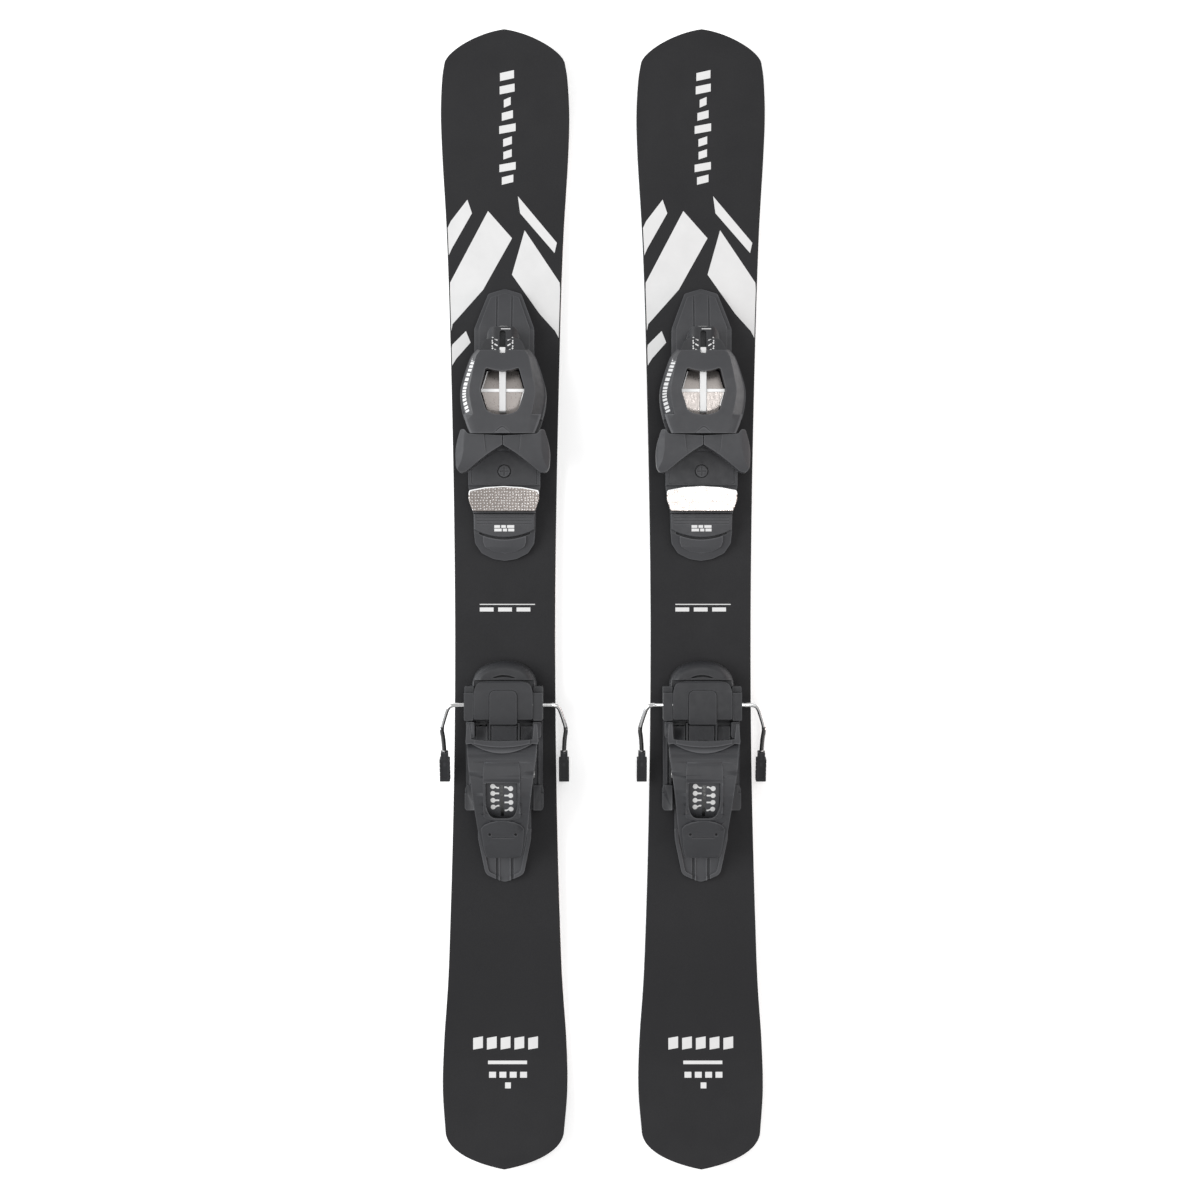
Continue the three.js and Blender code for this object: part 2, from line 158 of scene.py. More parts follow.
def topsheet_material():
    n = Nodes("topsheet_charcoal")
    drift = n.noise(9, 3, stretch=(1, 0.25, 1))
    fleck = n.noise(1500, 2)
    base = n.ramp(drift, grey(32, 0, 1.6), grey(36, 0, 1.6))
    colour = n.mix(n.spread(fleck, 0.0, 0.35), base, grey(47, 0, 1.6))
    bump = n.bump(fleck, 0.25, 0.00006)
    rough = n.spread(n.noise(40, 5), 0.5, 0.64)
    return n.finish(Base_Color=colour, Roughness=rough, Normal=bump, Specular_IOR_Level=0.16)


def print_material():
    n = Nodes("printed_white")
    cloud = n.noise(60, 4)
    colour = n.ramp(cloud, grey(206), grey(212))
    bump = n.bump(n.noise(1500, 2), 0.2, 0.00005)
    rough = n.spread(n.noise(120, 4), 0.42, 0.55)
    return n.finish(Base_Color=colour, Roughness=rough, Normal=bump)


def plastic_material(name, level, lift, warm=-0.6, blue=2.4, rough=(0.42, 0.56)):
    """Moulded plastic: fine spark-eroded grain, faint flow marks, and convex edges painted paler, partly as
    rubbed wear and partly as a painted highlight.
    """
    n = Nodes(name)
    flow = n.noise(28, 4)
    grain = n.noise(2600, 3, 0.7)
    base = n.ramp(flow, grey(level - 2, warm, blue), grey(level + 3, warm, blue))
    # Convex edges lifted towards a paler grey: rubbed wear together with a painted highlight along the
    # edges.
    rubbed_and_highlit = n.mix(n.edges(0.7), base, grey(level + lift, warm, blue))
    bump = n.bump(grain, 0.35, 0.00008)
    worn = n.spread(n.noise(170, 5), *rough)
    return n.finish(Base_Color=rubbed_and_highlit, Roughness=worn, Normal=bump, Specular_IOR_Level=0.36)


def steel_material(name, level, rough, scratch=0.06, stretch=(1, 1, 1), warm=0.0):
    n = Nodes(name)
    lines = n.noise(900, 4, 0.6, stretch)
    stain = n.noise(45, 4)
    colour = n.ramp(stain, grey(level - 8, warm), grey(level, warm))
    bump = n.bump(lines, scratch, 0.00004)
    worn = n.spread(lines, rough - 0.05, rough + 0.07)
    return n.finish(Base_Color=colour, Metallic=1.0, Roughness=worn, Normal=bump)


def bright_material(name, level, metal):
    """Pale satin metal for a strap; for a bead, a near-white colour that paints the highlight of a polished
    edge.
    """
    n = Nodes(name)
    cloud = n.noise(120, 4)
    colour = n.ramp(cloud, grey(level - 5), grey(level))
    bump = n.bump(n.noise(900, 3), 0.05, 0.00003)
    rough = n.spread(cloud, 0.36, 0.42)
    return n.finish(Base_Color=colour, Metallic=metal, Roughness=rough, Normal=bump)


def pad_material():
    """Dimpled metal skin of the anti-friction pad."""
    n = Nodes("dimpled_pad")
    cells = n.voronoi(400, randomness=0.4)
    grime = n.noise(220, 5)
    colour = n.mix(n.spread(cells, 0.0, 1.0, 0.13, 0.26), grey(226, 2), grey(134, 7))
    colour = n.mix(n.spread(grime, 0.0, 0.35, 0.5, 0.75), colour, grey(104, 6))
    bump = n.bump(cells, 0.2, 0.0002)
    rough = n.spread(grime, 0.16, 0.24)
    return n.finish(Base_Color=colour, Metallic=0.7, Roughness=rough, Normal=bump)


def base_material():
    """Waxed black running base with the fine lengthwise lines of a stone grind."""
    n = Nodes("running_base")
    lines = n.noise(2200, 3, 0.6, (1, 0.02, 1))
    haze = n.noise(14, 4)
    colour = n.ramp(haze, grey(22), grey(31))
    bump = n.bump(lines, 0.5, 0.0001)
    return n.finish(Base_Color=colour, Roughness=n.spread(haze, 0.28, 0.42), Normal=bump)


# Each finish: its material, and the slot that it fills.
FINISHES = {
    "topsheet": (topsheet_material(), "topsheet"),
    "print": (print_material(), "white_marks"),
    "plastic": (plastic_material("binding_plastic", 56, 34), "binding_plastic"),
    "plastic_light": (plastic_material("panel_plastic", 64, 34), "binding_plastic"),
    "plastic_heel": (plastic_material("heel_plastic", 51, 34), "binding_plastic"),
    "plastic_dark": (plastic_material("brake_plastic", 41, 30), "binding_plastic"),
    "black": (plastic_material("black_plastic", 34, 22), "black_plastic"),
    "sidewall": (plastic_material("sidewall_plastic", 44, 18, 9.0, 0.0, (0.3, 0.45)), "sidewall"),
    "chrome": (steel_material("polished_wire", 222, 0.12), "polished_steel"),
    "polished": (steel_material("polished_faces", 158, 0.3, 0.1, (1, 0.1, 1), 6.0), "polished_steel"),
    "steel": (steel_material("satin_steel", 160, 0.32, 0.1), "spring_steel"),
    # steel_dark: a dark thread's own colour, and painted shade on the brake sleeves.
    "steel_dark": (steel_material("dark_thread_and_shade", 92, 0.35, 0.1), "spring_steel"),
    "edge": (steel_material("ground_edge", 176, 0.28, 0.2, (1, 0.05, 1)), "edge_steel"),
    "pad": (pad_material(), "pad_metal"),
    "strap": (bright_material("satin_strap", 206, 0.35), "polished_steel"),
    # bead: a near-white colour that paints highlights on thin strips.
    "bead": (bright_material("painted_highlight_bead", 240, 0.15), "polished_steel"),
    "base": (base_material(), "ski_base"),
}


def paint_cad_nodes():
    """The CAD solids that stay in view are steel: the toe's and the heel's spring, and the wing pins."""
    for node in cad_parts.values():
        node.data.materials.clear()
        node.data.materials.append(FINISHES["steel"][0])


# ---- stage


FLOOR_REACH = 30.0
FLOOR_DROP = 0.2 * MM


def make_stage():
    floor_mesh = bpy.data.meshes.new("floor")
    corners = [(a * FLOOR_REACH, b * FLOOR_REACH, 0) for a, b in ((-1, -1), (1, -1), (1, 1), (-1, 1))]
    floor_mesh.from_pydata(corners, [], [(0, 1, 2, 3)])
    floor = new_object("floor", floor_mesh)
    floor.location.z = -FLOOR_DROP
    n = Nodes("pale_floor")
    tone = n.ramp(n.noise(3, 2), grey(251), grey(253))
    floor_mesh.materials.append(n.finish(
        Base_Color=tone, Roughness=0.9, Specular_IOR_Level=0.1,
        Emission_Color=(1, 1, 1, 1), Emission_Strength=0.3,
    ))


def area_light(name, place, target, width, height, power, colour=(1, 1, 1)):
    data = bpy.data.lights.new(name, "AREA")
    data.shape = "RECTANGLE"
    data.size = width
    data.size_y = height
    data.energy = power
    data.color = colour
    light = new_object(name, data)
    light.location = place
    light.rotation_euler = (Vector(target) - Vector(place)).to_track_quat("-Z", "Y").to_euler()


def make_lights():
    world = bpy.data.worlds.new("studio")
    world.use_nodes = True
    background = world.node_tree.nodes["Background"]
    background.inputs["Color"].default_value = (1, 1, 1, 1)
    background.inputs["Strength"].default_value = 0.62
    bpy.context.scene.world = world
    area_light("key", (-1.7, 0.3, 1.7), (0, 0, 0), 1.4, 1.6, 34)
    area_light("fill", (0.7, 1.0, 2.3), (0, 0, 0), 1.4, 1.4, 8)
    area_light("right_strip", (1.5, 0, 0.3), (0, 0, 0.03), 2.6, 0.3, 9, (1.0, 0.82, 0.78))
    area_light("left_strip", (-1.5, 0, 0.3), (0, 0, 0.03), 2.6, 0.3, 7, (0.86, 0.93, 1.0))
    pad = sum(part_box("right_afd_plate"), Vector()) / 2
    cup = sum(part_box("right_toe_spring_cup"), Vector()) / 2
    area_light("pad_softbox", (pad.x * 2.05, pad.y * 2.05, pad.z + 1.9), tuple(pad), 0.3, 0.24, 3.0)
    area_light("cup_softbox", (cup.x * 2.15, cup.y - 0.6, cup.z + 1.9), tuple(cup), 0.22, 0.2, 2.2)


CAMERA_HEIGHT = 1.8  # above the skis' tops
FRAME_WIDTH = 1.044  # what the picture takes in at that height
CAMERA_SHIFT = -2.5 * MM
SENSOR = 36.0


def make_camera():
    data = bpy.data.cameras.new("camera")
    data.sensor_width = SENSOR
    data.lens = SENSOR * CAMERA_HEIGHT / FRAME_WIDTH
    camera = new_object("camera", data)
    camera.location = (CAMERA_SHIFT, 0, ski_origin("left").z + CAMERA_HEIGHT)
    bpy.context.scene.camera = camera
    bpy.context.scene.view_settings.view_transform = "Standard"


paint_cad_nodes()
make_stage()
make_lights()
make_camera()

# ---- mesh helpers
# A shape is drawn as a plain mesh object in millimetres, and soften() rounds its edges. install()
# puts it on both skis and fastens it to its body.

HALF_BINDING = 25.8  # where the bowed edges of the toe and the heel end
ROUND_SLACK = 0.4  # how far off a round surface the middle of a face may be
ROUND_FACING = 0.995  # how squarely such a face has to look away from the surface's axis


def shape(vertices, faces):
    mesh = bpy.data.meshes.new("shape")
    mesh.from_pydata(vertices, [], faces)
    editable = bmesh.new()
    editable.from_mesh(mesh)
    bmesh.ops.remove_doubles(editable, verts=editable.verts, dist=0.0005)
    bmesh.ops.recalc_face_normals(editable, faces=editable.faces)
    editable.to_mesh(mesh)
    editable.free()
    return new_object("shape", mesh)


def skin(rings):
    """The vertices of closed rings of equal length, and the faces between neighbouring rings."""
    count = len(rings[0])
    faces = []
    for k in range(len(rings) - 1):
        for i in range(count):
            a, b = k * count + i, k * count + (i + 1) % count
            faces.append((a, b, b + count, a + count))
    return [point for ring in rings for point in ring], faces


def loft(rings):
    """A skin through closed rings of equal length, with flat ends."""
    vertices, faces = skin(rings)
    count = len(rings[0])
    faces.append(tuple(range(count))[::-1])
    faces.append(tuple(range(len(vertices) - count, len(vertices))))
    return shape(vertices, faces)


def mirrored(half):
    """The whole outline of a symmetric plan, from its right-hand half."""
    return half + [(-x, y) for x, y in reversed(half) if x > 0]


def rounded(points, radius, steps=5):
    """A closed outline with its corners rounded; radius is one number or one per corner."""
    radii = radius if isinstance(radius, (list, tuple)) else [radius] * len(points)
    outline = []
    for i, corner in enumerate(points):
        here = Vector(corner)
        back = Vector(points[i - 1]) - here
        ahead = Vector(points[(i + 1) % len(points)]) - here
        reach = min(radii[i], back.length * 0.48, ahead.length * 0.48)
        if reach < 0.05:
            outline.append(tuple(here))
            continue
        start = here + back.normalized() * reach
        end = here + ahead.normalized() * reach
        for k in range(steps + 1):
            t = k / steps
            point = start * (1 - t) ** 2 + here * 2 * t * (1 - t) + end * t * t
            outline.append(tuple(point))
    return outline


def symmetric(half, radius, steps=5):
    """A symmetric plan with rounded corners, from its right-hand half and that half's radii."""
    radii = radius if isinstance(radius, list) else [radius] * len(half)
    back = [r for (x, _), r in zip(half[::-1], radii[::-1]) if x > 0]
    return rounded(mirrored(half), radii + back, steps)


def rectangle(x0, x1, y0, y1, slant=0.0):
    """Four corners; the edges at y0 and y1 rise by the slant from x0 to x1."""
    return [(x0, y0), (x1, y0 + slant), (x1, y1 + slant), (x0, y1)]


def bow(x, centre, rise):
    """How far along the ski a bowed edge lies, x millimetres off the middle."""
    return centre + rise * (x / HALF_BINDING) ** 2


def on_side(points, direction):
    """An outline drawn on the right, or its mirror image where the direction is -1."""
    return points if direction > 0 else [(-x, at) for x, at in reversed(points)]


def span(s, inner, outer):
    """The range between two distances off the middle, on the right or, where s is -1, on the left."""
    return sorted((s * inner, s * outer))


def inset(outline, amount):
    """The outline moved inwards, whichever way round it runs."""
    area = sum(a[0] * b[1] - b[0] * a[1] for a, b in zip(outline, outline[1:] + outline[:1]))
    side = 1 if area > 0 else -1
    result = []
    for i, corner in enumerate(outline):
        here = Vector(corner)
        back = (here - Vector(outline[i - 1])).normalized()
        ahead = (Vector(outline[(i + 1) % len(outline)]) - here).normalized()
        normal_back = Vector((-back.y, back.x)) * side
        normal_ahead = Vector((-ahead.y, ahead.x)) * side
        middle = normal_back + normal_ahead
        if middle.length < 1e-6:
            middle = normal_back
        middle.normalize()
        stretch = 1 / max(middle.dot(normal_ahead), 0.4)
        result.append(tuple(here + middle * amount * stretch))
    return result


def stacked(*layers):
    """A solid through outlines of (x, y) points at rising heights."""
    return loft([[(x, y, z) for x, y in outline] for outline, z in layers])


def plan(outline, bottom, top):
    """A prism standing on z, from an outline of (x, y) points."""
    return stacked((outline, bottom), (outline, top))


def pillow(outline, bottom, top, edge, steps=4):
    """A prism standing on z whose top edge is rounded by a quarter circle."""
    layers = [(outline, bottom)]
    for k in range(steps + 1):
        angle = math.pi / 2 * k / steps
        layers.append((inset(outline, edge * (1 - math.cos(angle))), top - edge * (1 - math.sin(angle))))
    return stacked(*layers)


def side(profile, start, end):
    """A prism lying along x, from a profile of (y, z) points."""
    return loft([[(x, y, z) for y, z in profile] for x in (start, end)])


def front(profile, start, end):
    """A prism lying along y, from a profile of (x, z) points."""
    return loft([[(x, y, z) for x, z in profile] for y in (start, end)])


def box(xs, ys, zs):
    return plan(rectangle(*xs, *ys), *zs)


def arc(centre, radius, start, end, steps):
    """Points of an arc, with angles in degrees from the first axis."""
    angles = [math.radians(start + (end - start) * k / steps) for k in range(steps + 1)]
    return [(centre[0] + radius * math.cos(a), centre[1] + radius * math.sin(a)) for a in angles]


def circle(radius, sides=40, centre=(0, 0)):
    return arc(centre, radius, 0, 360, sides)[:-1]


def turned(profile, axis, place, sides=40):
    """A round solid from (radius, distance) points; the axis is "x", "y" or "z"."""
    rings = []
    for radius, along in profile:
        ring = []
        for a, b in circle(max(radius, 0.001), sides):
            u, v = a + place[0], b + place[1]
            ring.append({"x": (along, u, v), "y": (u, along, v), "z": (u, v, along)}[axis])
        rings.append(ring)
    return loft(rings)


def bar(radius, start, end, axis, place, edge=0.0, sides=40):
    """A round bar with slightly rounded ends."""
    if edge == 0:
        return turned([(radius, start), (radius, end)], axis, place, sides)
    profile = [(radius - edge, start), (radius - edge * 0.3, start + edge * 0.3), (radius, start + edge)]
    profile += [(radius, end - edge), (radius - edge * 0.3, end - edge * 0.3), (radius - edge, end)]
    return turned(profile, axis, place, sides)


def apply_modifiers(piece):
    graph = bpy.context.evaluated_depsgraph_get()
    baked = bpy.data.meshes.new_from_object(piece.evaluated_get(graph))
    piece.modifiers.clear()
    old = piece.data
    piece.data = baked
    bpy.data.meshes.remove(old)
    return piece


def combine(piece, operation, *others):
    for other in others:
        modifier = piece.modifiers.new("combine", "BOOLEAN")
        modifier.operation = operation
        modifier.solver = "EXACT"
        modifier.object = other
        apply_modifiers(piece)
        bpy.data.objects.remove(other)
    return piece


def cut(piece, *others):
    return combine(piece, "DIFFERENCE", *others)


def unite(piece, *others):
    return combine(piece, "UNION", *others)


def common(piece, *others):
    return combine(piece, "INTERSECT", *others)


def carved(outline, profile):
    """The solid with an outline of (x, y) seen from above and a profile of (y, z) seen from the side.

    Both prisms reach past every shape that is drawn.
    """
    return common(plan(outline, -5, 95), side(profile, -60, 60))


def soften(piece, width, segments=3):
    """Rounds every edge that turns by more than 28 degrees."""
    editable = bmesh.new()
    editable.from_mesh(piece.data)
    bmesh.ops.dissolve_limit(
        editable, angle_limit=math.radians(0.5), verts=editable.verts, edges=editable.edges,
    )
    bmesh.ops.remove_doubles(editable, verts=editable.verts, dist=0.01)
    editable.to_mesh(piece.data)
    editable.free()
    modifier = piece.modifiers.new("soften", "BEVEL")
    modifier.width = width
    modifier.segments = segments
    modifier.limit_method = "ANGLE"
    modifier.angle_limit = math.radians(28)
    modifier.use_clamp_overlap = True
    modifier.miter_outer = "MITER_ARC"
    return apply_modifiers(piece)


def shade(piece, angle):
    """Smooth shading that leaves every edge sharper than the angle sharp."""
    piece.data.shade_smooth()
    piece.data.set_sharp_from_angle(angle=math.radians(angle))
    modifier = piece.modifiers.new("normals", "WEIGHTED_NORMAL")
    modifier.keep_sharp = True
    return apply_modifiers(piece)


def true_round(piece, centre, radii):
    """Gives faces on round surfaces about an x axis the exact normals, and keeps their borders sharp."""
    mesh = piece.data
    normals = [corner.vector.copy() for corner in mesh.corner_normals]
    round_sides = [0] * len(mesh.edges)
    for face in mesh.polygons:
        spoke = Vector((0, face.center.y - centre[0], face.center.z - centre[1]))
        on_round = any(abs(spoke.length - radius) < ROUND_SLACK for radius in radii)
        if on_round and face.normal.dot(spoke.normalized()) > ROUND_FACING:
            for corner in face.loop_indices:
                at = mesh.vertices[mesh.loops[corner].vertex_index].co
                normals[corner] = Vector((0, at.y - centre[0], at.z - centre[1])).normalized()
                round_sides[mesh.loops[corner].edge_index] += 1
    for edge, sides in zip(mesh.edges, round_sides):
        if sides == 1:
            edge.use_edge_sharp = True
    mesh.normals_split_custom_set(normals)


def install(piece, name, body, finish, instead_of=(), smooth=38, round_about=None):
    """Puts a finished shape on both skis: name, body and instead_of are given without the side."""
    shade(piece, smooth)
    if round_about:
        true_round(piece, *round_about)
    material, slot = FINISHES[finish]
    for prefix in PREFIXES:
        origin = ski_origin(prefix)
        mesh = piece.data.copy()
        mesh.name = f"{prefix}_{name}"
        for vertex in mesh.vertices:
            vertex.co = origin + vertex.co * MM
        mesh.materials.clear()
        mesh.materials.append(material)
        copy = new_object(f"{prefix}_{name}", mesh)
        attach(copy, f"{prefix}_{body}")
        if instead_of:
            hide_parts(*[f"{prefix}_{node}" for node in instead_of])
    bpy.data.objects.remove(piece)


# ---- the ski

HALF_LENGTH = 492.0
RISE_START = 345.0
TIP_RISE, TAIL_RISE = 24.0, 20.0
MID_THICKNESS, END_THICKNESS = 13.0, 6.5
TAPER_START, TAPER_END = 285.0, 400.0
EDGE_WIDTH, EDGE_HEIGHT, EDGE_REACH = 2.0, 1.9, 462.0
TOPSHEET_THICKNESS, TOPSHEET_ROUND = 1.2, 0.75
SIDECUT = [
    (51.5, -460), (54.2, -425), (53.2, -383), (48.8, -313), (44.8, -174), (43.5, -45), (44.6, 87),
    (47.6, 226), (50.6, 313), (54.7, 383), (55.9, 421), (54.5, 450), (52.3, 464),
]


def base_height(y):
    past = max(0.0, abs(y) - RISE_START) / (HALF_LENGTH - RISE_START)
    return (TIP_RISE if y > 0 else TAIL_RISE) * past * past


def ski_thickness(y):
    along = min(max((abs(y) - TAPER_START) / (TAPER_END - TAPER_START), 0.0), 1.0)
    return MID_THICKNESS + (END_THICKNESS - MID_THICKNESS) * along


def top_height(y):
    """The ski's upper face, measured from the flat part that the binding stands on."""
    return base_height(y) + ski_thickness(y) - MID_THICKNESS


def catmull_rom(points, steps):
    curve = []
    for i in range(len(points) - 1):
        p = [Vector(points[min(max(i + k, 0), len(points) - 1)]) for k in (-1, 0, 1, 2)]
        for j in range(steps):
            t = j / steps
            curve.append(tuple(0.5 * (
                2 * p[1] + (p[2] - p[0]) * t + (2 * p[0] - 5 * p[1] + 4 * p[2] - p[3]) * t ** 2
                + (3 * p[1] - p[0] - 3 * p[2] + p[3]) * t ** 3
            )))
    return curve + [tuple(points[-1])]


def bezier(a, b, c, d, steps):
    a, b, c, d = (Vector(p) for p in (a, b, c, d))
    curve = []
    for k in range(steps + 1):
        t = k / steps
        s = 1 - t
        curve.append(tuple(a * s ** 3 + b * 3 * s * s * t + c * 3 * s * t * t + d * t ** 3))
    return curve


def right_outline():
    """The ski's right-hand outline from the middle of the tail to the middle of the nose."""
    tail = bezier((0, -HALF_LENGTH), (14, -489.5), (51, -481), SIDECUT[0], 28)
    nose = bezier(SIDECUT[-1], (51, 474), (24, 489.2), (0, HALF_LENGTH), 28)
    return tail[:-1] + catmull_rom(SIDECUT, 14)[:-1] + nose


OUTLINE = right_outline()


def ski_ring(inwards, height):
    """A ring round the ski, moved inwards, at a height above the base given by a function of y."""
    right = []
    for i, point in enumerate(OUTLINE):
        before = Vector(OUTLINE[max(i - 1, 0)])
        after = Vector(OUTLINE[min(i + 1, len(OUTLINE) - 1)])
        along = (after - before).normalized()
        x = point[0] - inwards * along.y
        y = point[1] + inwards * along.x
        if i in (0, len(OUTLINE) - 1):
            x, y = 0.0, point[1] - math.copysign(inwards, point[1])
        right.append((max(x, 0.0), y))
    left = [(-x, y) for x, y in reversed(right[1:-1])]
    return [(x, y, base_height(y) + height(y) - MID_THICKNESS) for x, y in right + left]


def ski_layer(rings):
    """A closed layer of the ski. The bottom and the top are ladders of strips across the ski."""
    vertices, faces = skin(rings)
    count = len(rings[0])
    half = len(OUTLINE)
    for offset in (0, len(vertices) - count):
        opposite = [0] + [count - i for i in range(1, half - 1)] + [half - 1]
        for i in range(half - 1):
            corners = [i, i + 1, opposite[i + 1], opposite[i]]
            faces.append(tuple(dict.fromkeys(offset + c for c in corners)))
    return shape(vertices, faces)


def above_base(height):
    return lambda y: height


def below_top(depth):
    return lambda y: ski_thickness(y) - depth


def make_ski_layers():
    top = [ski_ring(0, below_top(TOPSHEET_THICKNESS)), ski_ring(0, below_top(TOPSHEET_ROUND))]
    for degrees in (22, 45, 68, 90):
        angle = math.radians(degrees)
        inwards, depth = (TOPSHEET_ROUND * (1 - turn) for turn in (math.cos(angle), math.sin(angle)))
        top.append(ski_ring(inwards, below_top(depth)))
    install(ski_layer(top), "ski_topsheet", "ski", "topsheet", ["topsheet"], 30)
    core_top = TOPSHEET_THICKNESS + SEAT_GAP
    core = [
        ski_ring(0.5, above_base(EDGE_HEIGHT + SEAT_GAP)), ski_ring(0.2, above_base(EDGE_HEIGHT + 0.5)),
        ski_ring(0.2, below_top(core_top + 0.5)), ski_ring(0.6, below_top(core_top)),
    ]
    install(ski_layer(core), "ski_core", "ski", "sidewall", ["core"], 30)
    running = [
        ski_ring(EDGE_WIDTH + inwards, above_base(height))
        for inwards, height in ((0.4, 0), (0.1, 0.3), (0.1, EDGE_HEIGHT))
    ]
    install(ski_layer(running), "ski_base", "ski", "base", ["base"], 30)


def make_steel_edges():
    outer, bevelled, inner = (ski_ring(inwards, above_base(0)) for inwards in (0, 0.25, EDGE_WIDTH))
    for name, direction in (("edge_right", 1), ("edge_left", -1)):
        rings = []
        for i in range(len(OUTLINE)):
            if abs(OUTLINE[i][1]) > EDGE_REACH:
                continue
            section = [
                (bevelled[i], 0.0), (outer[i], 0.25), (outer[i], EDGE_HEIGHT - 0.2),
                (bevelled[i], EDGE_HEIGHT), (inner[i], EDGE_HEIGHT), (inner[i], 0.0),
            ]
            rings.append([(direction * p[0], p[1], p[2] + z) for p, z in section])
        install(loft(rings), f"steel_{name}", "ski", "edge", [name], 30)


# ---- printed graphics
# A generic faceted pattern and plain bars, as thin printed films that follow the ski's top.

FILM = 0.08  # a print's thickness
LIFT = 0.02  # its gap to what it is printed on
FILM_STEP = 6  # the length of the strips that follow the ski's rise
SHARDS = [
    [(-52, 268), (-15, 339), (6, 315), (-19, 270), (-51, 234)],
    [(-49, 219), (-34, 234), (-30, 224), (-48.5, 203)],
    [(17, 322), (51.5, 270), (50.8, 226), (30, 249), (6, 283)],
    [(11, 352), (45, 311), (43, 302), (13, 337)],
    [(-53.5, 322), (-33, 349), (-29, 337), (-52, 296)],
]
NOSE_BARS = [(y, 5.0 + 2.2 * math.sin(k * 1.9)) for k, y in enumerate(range(362, 456, 11))]


def half_width(y):
    for (x0, y0), (x1, y1) in zip(OUTLINE, OUTLINE[1:]):
        if y0 <= y <= y1 and y1 > y0:
            return x0 + (x1 - x0) * (y - y0) / (y1 - y0)
    return 0.0


def film(polygon):
    """A thin printed film over a polygon, cut into strips so that it follows the ski's rise."""
    editable = bmesh.new()
    editable.faces.new([editable.verts.new((x, y, 0)) for x, y in polygon])
    low, high = min(y for _, y in polygon), max(y for _, y in polygon)
    station = math.ceil(low / FILM_STEP) * FILM_STEP
    while station < high:
        geometry = editable.verts[:] + editable.edges[:] + editable.faces[:]
        bmesh.ops.bisect_plane(editable, geom=geometry, plane_co=(0, station, 0), plane_no=(0, 1, 0))
        station += FILM_STEP
    for vertex in editable.verts:
        x, y, _ = vertex.co
        limit = half_width(y) - 1.0
        vertex.co = (min(max(x, -limit), limit), y, top_height(y) + LIFT)
    bmesh.ops.recalc_face_normals(editable, faces=editable.faces)
    extruded = bmesh.ops.extrude_face_region(editable, geom=editable.faces[:])
    for item in extruded["geom"]:
        if isinstance(item, bmesh.types.BMVert):
            item.co.z += FILM
    bmesh.ops.recalc_face_normals(editable, faces=editable.faces)
    mesh = bpy.data.meshes.new("film")
    editable.to_mesh(mesh)
    editable.free()
    return new_object("film", mesh)


def joined(pieces):
    """One object from several; they keep their own skins."""
    vertices, faces = [], []
    for piece in pieces:
        first = len(vertices)
        vertices += [tuple(v.co) for v in piece.data.vertices]
        faces += [tuple(first + i for i in face.vertices) for face in piece.data.polygons]
        bpy.data.objects.remove(piece)
    mesh = bpy.data.meshes.new("joined")
    mesh.from_pydata(vertices, [], faces)
    return new_object("joined", mesh)


def make_prints():
    install(joined([film(shard) for shard in SHARDS]), "print_facets", "ski", "print")
    bars = [film(rectangle(2 - w, 2 + w, y, y + 6.5, 2.5)) for y, w in NOSE_BARS]
    install(joined(bars), "print_nose_bars", "ski", "print")
    middle = [film(rectangle(x, x + 12, -10, -6.5)) for x in (-22, -6, 10)]
    middle.append(film(rectangle(-22, 26, -4.2, -3.4)))
    install(joined(middle), "print_middle_line", "ski", "print")
    tail = [film(rectangle(x, x + 8.5, -392, -382, 1.5)) for x in range(-28, 32, 12)]
    tail += [film(rectangle(-15, 19, -404.5, -401.5))]
    tail += [film(rectangle(x, x + 6, -416, -411)) for x in (-14, -5, 4, 13)]
    tail += [film(rectangle(0, 5, -425, -420))]
    install(joined(tail), "print_tail_bars", "ski", "print")


make_ski_layers()
make_steel_edges()
make_prints()


# ---- the toe piece

PLATE_TOP = 16.0
SCREW_AXIS = 30.0
WING_PIVOT = (18.0, 136.0)
WING_PIN_BORE = 3.3
HEIGHT_SCREW_Y = 111.0
GROOVES = (-6.5, 6.5)
HOUSING_RADII = [1.5, 4, 6, 8, 6, 5, 0.5]


def sloped_groove(x, ends, width, depth):
    """A cutter for a groove along y that follows a sloping top through (y, z) points."""
    profile = [(y, z - depth) for y, z in ends] + [(y, z + 6) for y, z in reversed(ends)]
    return side(profile, x - width / 2, x + width / 2)


def height_screw_bore():
    return bar(5.9, 13.6, 30, "z", (0, HEIGHT_SCREW_Y))


def make_end_panel():
    outline = [(0, 40.4), (10, 42), (17, 46), (18.6, 50)]
    outline += [(x, bow(x, 52.2, 6.4)) for x in (18.6, 14, 9, 4, 0)]
    panel = carved(symmetric(outline, 0.8), [(57, 4), (57, 12.2), (46, 8.4), (40, 4.6), (40, 4)])
    install(soften(panel, 0.5), "toe_plate_end_panel", "ski", "plastic_light")


